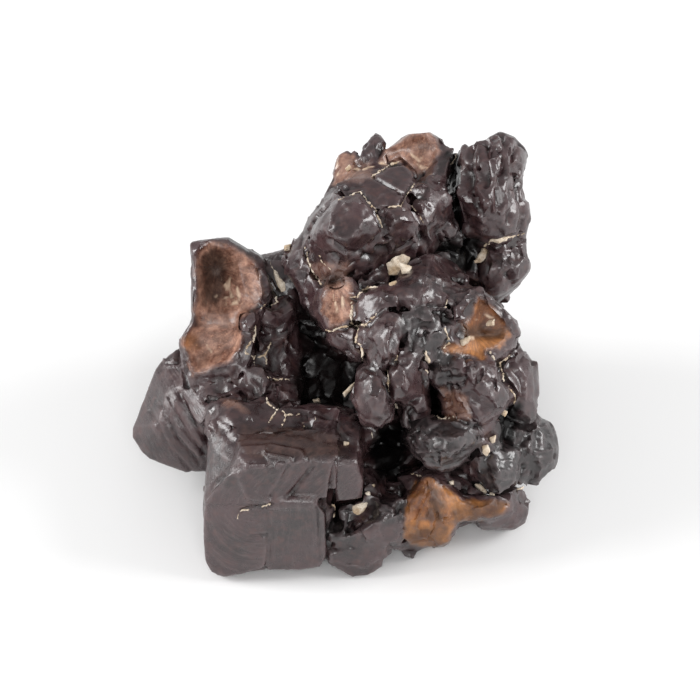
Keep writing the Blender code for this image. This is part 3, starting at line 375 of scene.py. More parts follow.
# The noise's grid is turned, so that its rows don't lie along the stone's sides, and moved for
# each seed.
GRID_TURN = np.array(((0.80, 0.36, -0.48), (-0.60, 0.48, -0.64), (0.0, 0.80, 0.60)))
SEED_SHIFT = 7.31


def drift(points, size, seed):
    """Smooth noise from -1 to 1 with bumps about this many mm wide."""
    at = points @ GRID_TURN / size + seed * SEED_SHIFT
    base = np.floor(at)
    part = at - base
    part = part * part * (3 - 2 * part)
    total = np.zeros(len(points))
    for corner in itertools.product((0, 1), repeat=3):
        weight = np.prod(np.where(corner, part, 1 - part), axis=1)
        total += weight * lattice(base + corner, seed)
    return total * 2 - 1


# The cells of the facets are those round a spot this share of a cell out of the skin, so that two
# walls that meet have their own. A cell's number is told from three whole numbers in this base.
CELL_LIFT = 0.5
CELL_SHIFT = 3.17
CELL_BASE = 4096
TINY = 1e-6


def flattened(points, normals, size, seed, share, most):
    """How far to move each point out so that cells of the skin this wide turn into flat facets."""
    at = (points + normals * size * CELL_LIFT) / size + seed * CELL_SHIFT
    base = np.floor(at)
    nearest = np.full(len(points), np.inf)
    owner = np.zeros((len(points), 3), dtype=np.int64)
    for step in itertools.product((-1, 0, 1), repeat=3):
        cell = base + step
        gap = at - cell - np.column_stack([lattice(cell, seed + k) for k in (1, 2, 3)])
        far = (gap * gap).sum(axis=1)
        closer = far < nearest
        owner[closer] = cell[closer]
        nearest = np.where(closer, far, nearest)
    _, number = np.unique(owner @ np.array((1, CELL_BASE, CELL_BASE ** 2)), return_inverse=True)
    count = np.bincount(number)[:, None]
    middle = np.column_stack([np.bincount(number, points[:, k]) for k in range(3)]) / count
    facing = np.column_stack([np.bincount(number, normals[:, k]) for k in range(3)])
    facing /= np.maximum(np.linalg.norm(facing, axis=1), TINY)[:, None]
    miss = ((middle[number] - points) * facing[number]).sum(axis=1)
    return np.clip(miss * share, -most, most)[:, None] * facing[number]


def from_line(line, spots):
    """How far each spot is from a line of corners, in mm on the sight plane."""
    nearest = np.full(len(spots), np.inf)
    for (ax, ay), (bx, by) in zip(line, line[1:]):
        along = np.array((bx - ax, by - ay), dtype=float)
        reach = spots - (ax, ay)
        share = np.clip(reach @ along / max(along @ along, TINY), 0, 1)
        nearest = np.minimum(nearest, np.hypot(*(reach - share[:, None] * along).T))
    return nearest * STEP


def within(outline, spots):
    """How far each spot is inside a closed outline, in mm on the sight plane, or minus outside."""
    odd = np.zeros(len(spots), dtype=bool)
    for (ax, ay), (bx, by) in zip(outline, outline[1:] + outline[:1]):
        crosses = (spots[:, 1] < ay) != (spots[:, 1] < by)
        with np.errstate(divide="ignore", invalid="ignore"):
            odd ^= crosses & (spots[:, 0] < ax + (spots[:, 1] - ay) * (bx - ax) / (by - ay))
    far = from_line(outline + outline[:1], spots)
    return np.where(odd, far, -far)


def eased(values, low, high):
    """0 below low, 1 above high and a smooth rise between."""
    part = np.clip((values - low) / (high - low), 0, 1)
    return part * part * (3 - 2 * part)


# Areas of the shown side, as outlines in steps across and down the field. First the plain grown
# faces of the great cube and the wedge, each with how near it starts, then the charcoal slag-like
# lumps.
GROWN_FACES = [
    (4, [(200, 455), (235, 440), (348, 440), (365, 460), (365, 506), (328, 508), (328, 572),
         (205, 582)]),
    (-22, [(122, 434), (158, 348), (200, 385), (208, 478), (158, 478)]),
]
COAL_AREAS = [
    [(398, 420), (430, 416), (478, 422), (484, 452), (456, 476), (420, 468), (400, 440)],
    [(478, 446), (520, 440), (520, 496), (478, 494)],
    [(512, 420), (545, 408), (566, 440), (562, 478), (528, 496), (512, 470)],
    [(398, 306), (450, 304), (452, 352), (464, 380), (440, 392), (424, 360), (400, 346)],
    [(368, 498), (406, 498), (404, 524), (370, 522)],
    [(330, 502), (352, 504), (352, 540), (326, 538)],
]

# Hollows of the broken crystals: the rim, and one or more hollows inside each other, each with its
# outline and how deep it goes in mm.
CUP_RIM = [(196, 252), (203, 245), (214, 242), (232, 245), (246, 253), (256, 262), (262, 280),
           (264, 295), (258, 306), (246, 314), (238, 322), (204, 322), (194, 312), (195, 283)]
SCOOP_RIM = [(192, 326), (215, 324), (236, 326), (244, 336), (240, 350), (230, 362), (212, 368),
             (193, 376), (188, 364), (186, 352), (182, 345), (184, 334)]
BOWL_RIM = [(384, 147), (398, 140), (410, 131), (428, 129), (438, 137), (440, 150), (432, 165),
            (418, 178), (413, 172), (400, 160), (388, 166), (378, 162)]
STAR_RIM = [(478, 298), (488, 303), (505, 320), (510, 335), (500, 347), (488, 350), (484, 362),
            (470, 357), (445, 353), (442, 347), (452, 343), (462, 345), (465, 335), (463, 325),
            (471, 314)]
TAN_RIM = [(325, 285), (340, 277), (352, 283), (353, 300), (351, 318), (345, 325), (330, 328),
           (322, 314), (320, 298)]
BOTH_RIMS = [(196, 252), (203, 245), (214, 242), (232, 245), (246, 253), (256, 262), (262, 280),
             (264, 295), (258, 306), (246, 314), (241, 322), (243, 336), (240, 350), (230, 362),
             (212, 368), (193, 376), (188, 364), (185, 352), (182, 345), (186, 334), (193, 322),
             (194, 312), (195, 283)]
CUP_WELL = [(200, 256), (213, 248), (229, 250), (238, 262), (243, 282), (248, 296), (240, 309),
            (224, 315), (206, 314), (199, 302), (198, 278)]
STAR_WELL = [(478, 302), (486, 312), (483, 330), (506, 330), (504, 340), (480, 342), (462, 338),
             (468, 326), (472, 316)]
TAN_WELL = [(326, 277), (340, 274), (343, 286), (330, 290)]
FACE_CHIP = [(416, 518), (430, 516), (434, 530), (428, 541), (417, 538)]
DISHES = [
    (BOTH_RIMS, [(BOTH_RIMS, 2.6, None), (CUP_WELL, 6.5, (216, 274)), (SCOOP_RIM, 1.8, (214, 346))]),
    (BOWL_RIM, [(BOWL_RIM, 3.8, (412, 150))]),
    (STAR_RIM, [(STAR_RIM, 2.0, None), (STAR_WELL, 2.4, (482, 334))]),
    (TAN_RIM, [(TAN_RIM, 1.2, None), (TAN_WELL, 2.4, (334, 282))]),
    (FACE_CHIP, [(FACE_CHIP, 1.6, (424, 529))]),
]
# A hollow without a deepest spot is a flat floor that rises over this many mm to its rim. Only skin
# this near to the outermost counts, no further behind the rim's flat than the reach, and the edge
# of a hollow blends over the last of these, in mm. The floor is then smoothed for some rounds.
GUTTER = 3.5
OUTERMOST = 0.8
HOLLOW_REACH = 14
RIM_BLEND = 0.9
SMOOTH_FROM = 0.4
SMOOTH_FULL = 1.4
HOLLOW_ROUNDS = 6
OFF_THE_STONE = 99

# Grooves along the joints between crystals: half-width and depth in mm, then the line.
GROOVES = [
    (0.5, 0.5, [(289, 466), (280, 483), (270, 498)]), (0.5, 0.5, [(313, 466), (300, 482), (288, 497)]),
    (0.6, 0.9, [(337, 461), (331, 480), (330, 502)]),
    (0.5, 0.35, [(268, 512), (269, 524), (267, 540), (268, 552), (266, 567)]),
    (0.9, 1.3, [(486, 141), (487, 160), (486, 184)]), (0.8, 1.2, [(502, 137), (503, 158), (501, 182)]),
    (0.5, 0.5, [(168, 396), (185, 430), (203, 452)]), (0.5, 0.4, [(160, 404), (178, 438), (200, 464)]),
    (0.5, 0.5, [(177, 390), (192, 420), (205, 440)]), (0.5, 0.35, [(150, 410), (168, 446), (192, 472)]),
    (0.8, 1.0, [(516, 148), (513, 180)]), (0.9, 1.3, [(472, 148), (471, 168), (470, 184)]),
    (0.8, 1.2, [(472, 190), (478, 204), (484, 214)]), (0.8, 1.2, [(498, 190), (499, 206)]),
    (0.8, 1.1, [(512, 186), (513, 206), (508, 222)]), (0.7, 0.9, [(520, 190), (523, 214), (520, 232)]),
    (0.5, 0.5, [(250, 537), (266, 536)]), (0.5, 0.6, [(428, 490), (420, 508), (416, 520)]),
    (0.6, 0.8, [(432, 500), (438, 520), (432, 532)]), (0.5, 0.5, [(318, 508), (320, 560)]),
    (0.5, 0.6, [(240, 511), (250, 508), (262, 507), (272, 504)]),
    (0.6, 0.9, [(345, 196), (360, 191), (372, 206), (378, 215), (383, 230), (376, 242), (362, 252)]),
    (0.5, 0.8, [(373, 176), (387, 184), (406, 195), (418, 203)]),
    (0.5, 0.8, [(415, 178), (407, 195), (400, 206), (386, 208)]),
    (0.6, 0.9, [(412, 206), (423, 222), (418, 236)]), (0.8, 1.4, [(457, 150), (452, 166), (449, 186)]),
    (0.6, 0.9, [(306, 248), (310, 265), (320, 285)]), (0.6, 0.8, [(330, 240), (345, 250), (370, 256)]),
    (0.6, 0.9, [(352, 297), (352, 325), (330, 332)]), (0.6, 0.9, [(350, 298), (358, 297), (366, 288)]),
    (0.6, 0.9, [(358, 324), (368, 325), (384, 311), (400, 311)]),
    (0.6, 0.9, [(358, 327), (356, 343), (363, 350), (362, 362)]),
    (0.6, 0.9, [(398, 353), (394, 363), (388, 374), (389, 396)]),
    (0.5, 0.6, [(445, 329), (449, 343), (442, 350)]), (0.5, 0.6, [(446, 300), (445, 325)]),
    (0.6, 0.9, [(489, 351), (494, 361), (500, 362), (511, 354)]),
    (0.7, 1.2, [(500, 362), (503, 381), (510, 387), (517, 399), (509, 410)]),
    (0.5, 0.7, [(466, 360), (467, 372), (463, 384)]), (0.5, 0.7, [(476, 362), (475, 382)]),
    (0.6, 0.9, [(430, 416), (456, 418), (478, 426)]), (0.5, 0.6, [(456, 385), (470, 410), (478, 425)]),
]

# Sharp ridges and bevels that catch the light: half-width and height in mm, then the line.
RIDGES = [
    (0.5, 0.5, [(390, 322), (384, 345), (385, 357)]), (0.45, 0.6, [(389, 330), (388, 358)]),
    (0.5, 0.6, [(399, 362), (402, 380), (408, 392)]), (0.5, 0.5, [(376, 373), (360, 383)]),
    (0.5, 0.6, [(354, 411), (368, 420), (379, 425), (395, 411)]), (0.5, 0.5, [(341, 413), (324, 435)]),
    (0.6, 0.7, [(478, 288), (492, 301), (505, 312), (516, 325), (520, 338), (516, 346), (505, 351)]),
    (0.5, 0.5, [(483, 382), (497, 407)]), (0.6, 0.5, [(513, 355), (528, 353), (536, 362), (537, 395)]),
    (0.6, 0.9, [(461, 189), (468, 213), (478, 216), (483, 222)]),
    (0.5, 0.8, [(477, 187), (486, 200), (483, 212)]),
    (0.5, 0.8, [(489, 195), (494, 213), (503, 212), (508, 200), (505, 192)]),
    (0.7, 0.9, [(478, 146), (479, 180)]), (0.7, 0.9, [(494, 140), (496, 176)]),
    (0.6, 0.8, [(510, 144), (508, 178)]),
    (0.5, 0.4, [(329, 556), (345, 564), (366, 567), (384, 553)]),
    (0.5, 0.5, [(165, 366), (181, 366), (183, 386)]), (0.5, 0.5, [(158, 352), (166, 362), (180, 361)]),
    (0.6, 0.6, [(252, 258), (262, 275), (267, 295)]), (0.5, 0.5, [(268, 313), (288, 313)]),
    (0.5, 0.5, [(185, 341), (184, 358), (190, 377)]), (0.5, 0.4, [(192, 376), (211, 369), (226, 366)]),
    (0.5, 0.5, [(345, 203), (333, 214), (329, 230), (340, 238)]),
    (0.5, 0.4, [(360, 203), (364, 214), (360, 230)]),
    (0.5, 0.5, [(410, 436), (425, 441), (436, 436), (450, 441), (462, 437)]),
    (0.5, 0.5, [(404, 446), (420, 452), (440, 450), (452, 458)]),
    (0.5, 0.4, [(420, 462), (436, 464), (450, 470)]),
    (0.5, 0.5, [(520, 424), (532, 432), (544, 426), (552, 436)]),
    (0.5, 0.5, [(524, 446), (540, 452), (552, 450)]),
    (0.5, 0.5, [(492, 455), (500, 462), (512, 460)]), (0.5, 0.4, [(486, 470), (498, 478), (512, 478)]),
    (0.4, 0.4, [(285, 340), (292, 350), (305, 356)]), (0.45, 0.5, [(366, 296), (384, 292), (396, 298)]),
    (0.45, 0.5, [(452, 297), (470, 291), (464, 306)]), (0.45, 0.5, [(415, 308), (422, 292), (430, 284)]),
    (0.45, 0.5, [(438, 372), (447, 366), (458, 368)]), (0.45, 0.5, [(470, 362), (476, 368), (474, 380)]),
    (0.5, 0.5, [(384, 214), (391, 207), (411, 208)]), (0.4, 0.4, [(440, 178), (448, 160), (454, 152)]),
    (0.4, 0.4, [(447, 178), (454, 170)]), (0.5, 0.5, [(252, 380), (260, 388), (262, 392)]),
    (0.45, 0.4, [(228, 426), (216, 420), (206, 426), (210, 432)]),
    (0.4, 0.5, [(500, 246), (504, 262), (498, 280)]),
    (0.4, 0.5, [(515, 242), (520, 258), (516, 276)]), (0.45, 0.5, [(380, 508), (388, 514), (384, 522)]),
]

# The remesher's cell steps are smoothed by this share, and later the facets' edges by the other.
STEP_ROUNDING = 0.4
FACET_ROUNDING = 0.45
places = rows_of(stone.data)
edges = edges_of(stone.data)
places = relaxed(places, edges, 1, STEP_ROUNDING)
stone.data.vertices.foreach_set("co", places.ravel())
stone.data.update()
skin_tree = BVHTree.FromPolygons(places.tolist(), [list(p.vertices) for p in stone.data.polygons])
sight = as_seen(places)
smooth_here = np.zeros(len(places))
for rim, layers in DISHES:
    inside = within(rim, sight[:, :2])
    slope_x, slope_y, height = plane_through(skin_tree, rim)
    level = sight[:, :2] @ np.array((slope_x, slope_y)) + height
    chosen = np.nonzero((inside > 0) & (sight[:, 2] > level - HOLLOW_REACH))[0]
    outer = [surface_near(skin_tree, *sight[k, :2]) or OFF_THE_STONE for k in chosen]
    chosen = [k for k, near in zip(chosen, outer) if near - sight[k, 2] < OUTERMOST]
    spots = sight[chosen]
    sunk = np.zeros(len(spots))
    for outline, depth, deepest in layers:
        part = np.clip(within(outline, spots[:, :2]), 0, None)
        if deepest is None:
            part = np.clip(part / GUTTER, 0, 1)
        else:
            part /= part + np.hypot(*(spots[:, :2] - deepest).T) * STEP + TINY
        sunk += depth * np.sin(part * math.pi / 2)
    share = np.clip(inside[chosen] / RIM_BLEND, 0, 1)
    near = spots[:, 2] + (level[chosen] - sunk - spots[:, 2]) * share
    for index, (x, y, _), now in zip(chosen, spots, near):
        places[index] = spot(x, y, now)
    smooth_here[chosen] = eased(inside[chosen], SMOOTH_FROM, SMOOTH_FULL)
places += (relaxed(places, edges, HOLLOW_ROUNDS) - places) * smooth_here[:, None]
stone.data.vertices.foreach_set("co", places.ravel())
stone.data.update()


def all_over(areas, spots, spread, wander=0):
    """1 inside any of some outlines and 0 outside, fading over a spread, in mm, at their edges."""
    share = np.zeros(len(spots))
    for area in areas:
        share = np.maximum(share, eased(within(area, spots) + wander, *spread))
    return share


# Shares of the skin that are a smooth grown face, slag or a hollow. Each fades in over the edge of
# its outline, and ends where the stone lies so far back, both in mm. The shown side ends in the same
# way, and the skin that stands on the table stays flat.
GROWN_EDGE = (-0.6, 0.6)
GROWN_START = 3
COAL_EDGE = (-0.6, 0.8)
COAL_BACK = (-8, -4)
HOLLOW_EDGE = (-0.3, 0.5)
HOLLOW_BACK = (-14, -12)
SHOWN_FROM = (-14, -10)
TABLE_EASE = (0.3, 2.0)
NORMAL_ROUNDS = 4
normals = relaxed(rows_of(stone.data, "normal"), edges, NORMAL_ROUNDS)
normals /= np.maximum(np.linalg.norm(normals, axis=1), TINY)[:, None]
sight = as_seen(places)
spots = sight[:, :2]
on_shown_side = eased(sight[:, 2], *SHOWN_FROM)
grown = np.zeros(len(places))
for start, area in GROWN_FACES:
    share = eased(within(area, spots), *GROWN_EDGE) * eased(sight[:, 2], start, start + GROWN_START)
    grown = np.maximum(grown, share)
coal = all_over(COAL_AREAS, spots, COAL_EDGE, 0.8 * drift(places, 3, 5))
coal *= eased(sight[:, 2], *COAL_BACK)
hollow = all_over([rim for rim, _ in DISHES], spots, HOLLOW_EDGE) * eased(sight[:, 2], *HOLLOW_BACK)
on_table = eased(places[:, 2], *TABLE_EASE)
plain = (1 - grown) * (1 - hollow) * on_table

# Facets: how wide, the seed, the share that is flattened and the most it moves, in mm.
FACETS = [(6.0, 3, 1.0, 1.2), (3.2, 23, 0.6, 0.22)]
for width, seed, share, most in FACETS:
    places = places + flattened(places, normals, width, seed, share, most) * plain[:, None]
places = relaxed(places, edges, 1, FACET_ROUNDING)


def waves(high, wide, seed):
    """Unevenness of the skin this many mm high and wide."""
    return high * drift(places, wide, seed)


# Low waves all over, bolder ones on the slag, and thin creases where the skin is neither a grown
# face nor a hollow. Then the grooves and ridges.
CREASE_HEIGHT = 0.10
CREASE_MIDDLE = 0.6
rise = waves(0.08, 6, 1) * plain
rise += coal * (waves(0.22, 1.5, 21) + waves(0.30, 2.8, 22))
creases = 1 - np.abs(drift(places + waves(1.5, 6, 31)[:, None], 3.6, 32))
rise += CREASE_HEIGHT * (creases - CREASE_MIDDLE) * plain
rise += waves(0.03, 1.2, 41)
rise += grown * (waves(0.08, 2.5, 44) + waves(0.14, 8, 45))
for half, depth, line in GROOVES:
    far = from_line(line, spots)
    rise -= depth * np.exp(-(far / half) ** 2) * on_shown_side
uneven = 0.7 + waves(0.5, 2.0, 43)
for half, height, line in RIDGES:
    far = from_line(line, spots)
    rise += height * np.clip(1 - far / half, 0, 1) * uneven * on_shown_side
places = places + normals * (rise * on_table)[:, None]
places[:, 2] = np.maximum(places[:, 2], 0.0)
stone.data.vertices.foreach_set("co", places.ravel())
stone.data.update()

# The skin is thinned to this many triangles, most of all where it is turned away from the eye.
SKIN_FACES = 196_000
SHOWN_WEIGHT = 0.12
LEVELS = 7
AWAY_FROM = (-0.25, 0.25)
hidden = stone.vertex_groups.new(name="hidden")
turned_away = eased(-(normals @ np.array(NEAR)), *AWAY_FROM)
weights = np.clip(SHOWN_WEIGHT + (1 - SHOWN_WEIGHT) * turned_away, 0, 1)
for level in range(LEVELS + 1):
    chosen = np.nonzero(np.round(weights * LEVELS) == level)[0]
    if len(chosen):
        hidden.add(chosen.tolist(), level / LEVELS, "REPLACE")
triangles = sum(len(p.vertices) - 2 for p in stone.data.polygons)
with_modifier(stone, "DECIMATE", ratio=min(1.0, SKIN_FACES / triangles), vertex_group="hidden",
              vertex_group_factor=1.0)
stone.data.validate(clean_customdata=False)

# What the skin's colour follows. First the rusty broken insides, each outline with how rusty it is.
RUST_FACE = [(403, 535), (406, 500), (415, 482), (432, 477), (450, 488), (465, 498), (508, 503),
             (505, 516), (480, 520), (455, 522), (450, 545), (435, 548), (412, 545)]
SCOOP_CHIP = [(180, 336), (194, 338), (198, 348), (184, 347)]
RUST_AREAS = [
    (CUP_RIM, 0.85), (SCOOP_RIM, 0.95), (BOWL_RIM, 0.8), (STAR_RIM, 1.0), (TAN_RIM, 0.95),
    ([(196, 316), (240, 318), (242, 332), (196, 332)], 0.7),
    (SCOOP_CHIP, 1.0), (RUST_FACE, 1.0),
    ([(440, 388), (466, 392), (470, 418), (446, 420)], 0.6),
    ([(220, 397), (240, 400), (250, 412), (225, 408)], 0.45),
    ([(335, 168), (372, 160), (374, 178), (350, 182), (336, 182)], 0.4),
    ([(332, 158), (340, 150), (356, 154), (360, 168), (352, 180), (334, 184)], 0.75),
    ([(305, 262), (350, 262), (352, 282), (325, 285), (312, 278)], 0.35),
    ([(240, 424), (340, 432), (345, 456), (250, 458), (236, 445)], 0.12),
]

# Broken insides that are orange rather than pinkish brown, each with how orange it is, and painted
# shade: dark pockets and gaps where the skin lies far back, the wells of the hollows, parts of the
# rusty face and the great cube's top, which faces away from the lights. Each is an outline, how near
# its surface may come at most, and how dark it is.
ORANGE_AREAS = [(STAR_RIM, 0.8), (RUST_FACE, 0.95), (SCOOP_CHIP, 0.6)]
ANY_DEPTH = 99
SHADED_AREAS = [
    ([(296, 300), (320, 320), (325, 345), (350, 362), (358, 372), (356, 400), (330, 408), (300, 415),
      (292, 380), (300, 350)], 14, 0.9),
    ([(422, 382), (432, 376), (442, 384), (441, 418), (424, 418)], 23, 1),
    ([(376, 428), (404, 424), (408, 450), (400, 478), (378, 480), (368, 452)], 19, 1),
    ([(326, 502), (350, 504), (350, 534), (326, 534)], 18, 0.8),
    ([(484, 405), (520, 405), (514, 445), (486, 440)], 19, 1),
    ([(428, 236), (482, 236), (476, 272), (436, 270)], 6, 1),
    ([(446, 150), (462, 160), (466, 186), (460, 240), (452, 236), (450, 190)], 4, 1),
    ([(200, 256), (214, 249), (225, 258), (226, 282), (218, 302), (203, 304)], ANY_DEPTH, 0.65),
    ([(322, 274), (342, 270), (346, 284), (328, 290)], ANY_DEPTH, 0.6),
    ([(460, 327), (484, 323), (506, 330), (502, 339), (480, 341), (462, 340)], ANY_DEPTH, 0.65),
    ([(428, 486), (438, 488), (448, 508), (442, 528), (428, 518)], ANY_DEPTH, 0.6),
    ([(403, 524), (430, 528), (452, 520), (450, 560), (402, 560)], ANY_DEPTH, 0.45),
    ([(452, 500), (506, 502), (502, 518), (452, 522)], ANY_DEPTH, 0.5),
    ([(236, 424), (345, 430), (362, 446), (348, 460), (250, 459), (232, 446)], ANY_DEPTH, 0.4),
]

# Pale streaks in the broken insides, partly chalk and partly painted highlights, and bright orange ones:
# half-width in mm, then the line.
PALE_AND_HIGHLIGHT_MARKS = [
    (0.50, [(222, 277), (226, 286), (233, 299)]), (0.42, [(230, 279), (228, 290), (225, 300)]),
    (0.45, [(236, 284), (239, 297)]), (0.50, [(216, 296), (228, 304), (240, 302)]),
    (0.35, [(411, 154), (419, 161), (425, 154)]), (0.4, [(416, 165), (428, 169), (432, 175)]),
    (0.4, [(380, 163), (392, 164)]), (0.3, [(470, 309), (476, 319)]), (0.35, [(481, 312), (493, 319)]),
    (0.4, [(481, 324), (496, 325)]), (0.45, [(458, 347), (465, 339), (473, 338)]),
    (0.3, [(334, 295), (337, 312)]), (0.3, [(342, 292), (343, 308)]), (0.3, [(207, 345), (211, 352)]),
    (0.35, [(335, 175), (346, 166), (360, 170), (373, 166)]), (0.4, [(336, 160), (337, 176)]),
]
FLAME_MARKS = [
    (0.35, [(198, 309), (208, 316), (222, 318), (239, 315)]), (0.4, [(203, 249), (212, 243)]),
    (1.3, [(184, 341), (192, 344)]), (0.4, [(238, 330), (240, 342), (232, 352)]),
    (0.35, [(210, 362), (226, 360)]), (0.5, [(219, 399), (230, 397), (240, 402), (247, 411)]),
    (0.4, [(478, 352), (496, 338), (505, 330)]), (0.35, [(423, 522), (427, 530), (424, 537)]),
    (0.5, [(494, 392), (496, 400)]), (0.35, [(333, 288), (331, 300), (337, 318)]),
    (0.5, [(407, 500), (410, 488), (420, 482)]), (0.5, [(442, 498), (462, 504), (474, 510)]),
]

# Fibres and growth lines of the skin, each area with the way they run: along a line, in rings round
# a spot or as rays out of one.
COMBED = [
    ("rings", (255, 505), [(200, 488), (225, 480), (262, 500), (270, 572), (205, 582)]),
    ("lines", (38, -33), [(228, 468), (240, 452), (340, 452), (366, 462), (366, 506), (270, 500),
                          (262, 499)]),
    ("lines", (-10, 50), [(198, 474), (210, 428), (236, 440), (227, 476), (202, 506)]),
    ("lines", (1, 30), [(270, 502), (328, 505), (328, 571), (268, 571)]),
    ("lines", (3, 5), [(122, 432), (158, 345), (205, 390), (208, 478), (150, 480)]),
    ("rays", (474, 333), STAR_RIM), ("rays", (432, 468), RUST_FACE),
    ("rays", (215, 268), CUP_RIM), ("rays", (246, 322), SCOOP_RIM), ("rays", (424, 118), BOWL_RIM),
    ("rays", (336, 281), TAN_RIM),
]

# Each colour fades in over the edge of its outline, which wanders, and ends where the stone lies so
# far back, both in mm. Rust ends where the skin turns from the eye, and the marks are broken up.
RUST_EDGE = (-0.5, 0.9)
RUST_BACK = (-16, -10)
SLAG_EDGE = (-0.8, 1.0)
SLAG_BACK = (-12, -6)
ORANGE_EDGE = (-1.5, 0.5)
SHADE_EDGE = (-1.0, 1.0)
SHADE_DEPTH = (-3, 2)
SHADE_WANDER = 1.5
MARK_WANDER = 0.12
FACING_FROM = (-0.3, 0.0)
BROKEN_FROM = (-0.35, 0.25)

places = rows_of(stone.data)
edges = edges_of(stone.data)
normals = rows_of(stone.data, "normal")
sight = as_seen(places)
spots = sight[:, :2]
wander = waves(0.6, 2.6, 51) + waves(0.4, 1.1, 52)
facing = eased(normals @ np.array(NEAR), *FACING_FROM)
rust = np.zeros(len(places))
for outline, strength in RUST_AREAS:
    rust = np.maximum(rust, strength * eased(within(outline, spots) + wander, *RUST_EDGE))
rust *= eased(sight[:, 2], *RUST_BACK) * facing
coal = all_over(COAL_AREAS, spots, SLAG_EDGE, wander) * eased(sight[:, 2], *SLAG_BACK)
orange = np.zeros(len(places))
for area, strength in ORANGE_AREAS:
    orange = np.maximum(orange, strength * eased(within(area, spots), *ORANGE_EDGE))
# Painted shade: each area darkens where its skin lies further back than its most.
painted_shade = np.zeros(len(places))
for area, most, strength in SHADED_AREAS:
    low, high = most + SHADE_DEPTH[0], most + SHADE_DEPTH[1]
    sunk = strength * (1 - eased(sight[:, 2] + SHADE_WANDER * wander, low, high))
    painted_shade = np.maximum(painted_shade, sunk * eased(within(area, spots) + wander, *SHADE_EDGE))
broken = eased(waves(1, 1.3, 53) + waves(0.5, 0.6, 54), *BROKEN_FROM)
pale = np.zeros(len(places))
flame = np.zeros(len(places))
for marks, lines in ((pale, PALE_AND_HIGHLIGHT_MARKS), (flame, FLAME_MARKS)):
    for half, line in lines:
        far = from_line(line, spots) + MARK_WANDER * wander
        mark = np.exp(-(far / half) ** 2) * broken * eased(sight[:, 2], *SHOWN_FROM) * facing
        marks[:] = np.maximum(marks, mark)

# The way the fibres run, as a place in a pattern that is stretched along them by these shares.
FIBRE_STRETCH = 0.22
FIBRE_DEPTH = 0.05
RING_TURNS = 8
RAY_TURNS = 5
COMBED_FROM = -22
COMBED_REACH = 0.8
fibre = np.zeros((len(places), 3))
combed = np.zeros(len(places))
for kind, (dx, dy), area in COMBED:
    inside = within(area, spots)
    here = (inside > -COMBED_REACH) & (sight[:, 2] > COMBED_FROM) & (combed == 0)
    reach = (spots[here] - (dx, dy)) * STEP
    far = np.hypot(*reach.T)
    turn = np.arctan2(reach[:, 1], reach[:, 0])
    if kind == "rings":
        pair = (far, turn * RING_TURNS)
    elif kind == "rays":
        pair = (turn * RAY_TURNS, far)
    else:
        reach = spots[here] * STEP / math.hypot(dx, dy)
        pair = (reach[:, 0] * dy - reach[:, 1] * dx, reach[:, 0] * dx + reach[:, 1] * dy)
    fibre[here] = np.column_stack((pair[0], pair[1] * FIBRE_STRETCH, sight[here, 2] * FIBRE_DEPTH))
    combed[here] = eased(inside[here], *GROWN_EDGE)


BULGE_SHARE = 0.9


def bulge(places, normals, edges, rounds):
    """How far each vertex stands out of the surface round it, in mm."""
    return ((places - relaxed(places, edges, rounds, BULGE_SHARE)) * normals).sum(axis=1)


def keep_values(thing, name, values):
    """Keeps one number for each vertex as an attribute that the material reads."""
    layer = thing.data.attributes.new(name, "FLOAT", "POINT")
    layer.data.foreach_set("value", np.ascontiguousarray(values, dtype=np.float32))


# An edge is lighter where it stands out of its close surroundings, as wear with a painted highlight
# on it, and a spot gets painted shade where it lies deep in its wide ones, by so many mm. These are
# told by rounds of smoothing. Rusty insides get less of the painted shade.
CLOSE_ROUNDS = 3
WIDE_ROUNDS = 24
WEAR_HIGHLIGHT_FROM = 0.03
WEAR_HIGHLIGHT_SPREAD = 0.12
RECESS_SHADE_FULL = 0.9
RUST_LIT = 0.75
edge_bulge = bulge(places, normals, edges, CLOSE_ROUNDS)
wide_bulge = bulge(places, normals, edges, WIDE_ROUNDS)
told = {
    "rust": rust, "coal": coal, "orange": orange, "painted_shade": painted_shade, "pale": pale, "flame": flame,
    "combed": combed, "worn": np.clip((edge_bulge - WEAR_HIGHLIGHT_FROM) / WEAR_HIGHLIGHT_SPREAD, 0, 1),
    "deep": np.clip(-wide_bulge / RECESS_SHADE_FULL, 0, 1) * (1 - RUST_LIT * rust),
}
for name, values in told.items():
    keep_values(stone, name, values)
layer = stone.data.attributes.new("fibre", "FLOAT_VECTOR", "POINT")
layer.data.foreach_set("vector", fibre.astype(np.float32).ravel())
final_tree = BVHTree.FromPolygons(places.tolist(), [list(p.vertices) for p in stone.data.polygons])
stone.data.transform(Matrix.Scale(MM, 4))
for polygon in stone.data.polygons:
    polygon.use_smooth = True
SHARP_ANGLE = math.radians(42)
stone.data.set_sharp_from_angle(angle=SHARP_ANGLE)


def linear(code):
    """An sRGB hex colour as linear red, green, blue and alpha."""
    parts = [int(code[k:k + 2], 16) / 255 for k in (1, 3, 5)]
    return tuple(p / 12.92 if p <= 0.04045 else ((p + 0.055) / 1.055) ** 2.4 for p in parts) + (1.0,)


def node(tree, kind, settings=None, inputs=None, output=0):
    """Adds a node and gives one of its outputs. An input is a socket, an sRGB code or a value."""
    made = tree.nodes.new(kind)
    for key, value in (settings or {}).items():
        setattr(made, key, value)
    for key, value in (inputs or {}).items():
        if isinstance(value, bpy.types.NodeSocket):
            tree.links.new(value, made.inputs[key])
        elif isinstance(value, str):
            made.inputs[key].default_value = linear(value)
        else:
            made.inputs[key].default_value = value
    return made.outputs[output]


def per_mm(size):
    """A texture scale that makes a pattern this many mm wide in Object coordinates."""
    return 1 / (size * MM)


def layered(tree, colour, *layers):
    """Lays colours over a first one. Each layer has a socket, the range of it that is spread from
    the layer's least to its most cover, and the colour."""
    for source, start, full, least, most, shade in layers:
        cover = node(tree, "ShaderNodeMapRange", {}, {0: source, 1: start, 2: full, 3: least, 4: most})
        colour = node(tree, "ShaderNodeMix", {"data_type": "RGBA"}, {0: cover, 6: colour, 7: shade}, 2)
    return colour


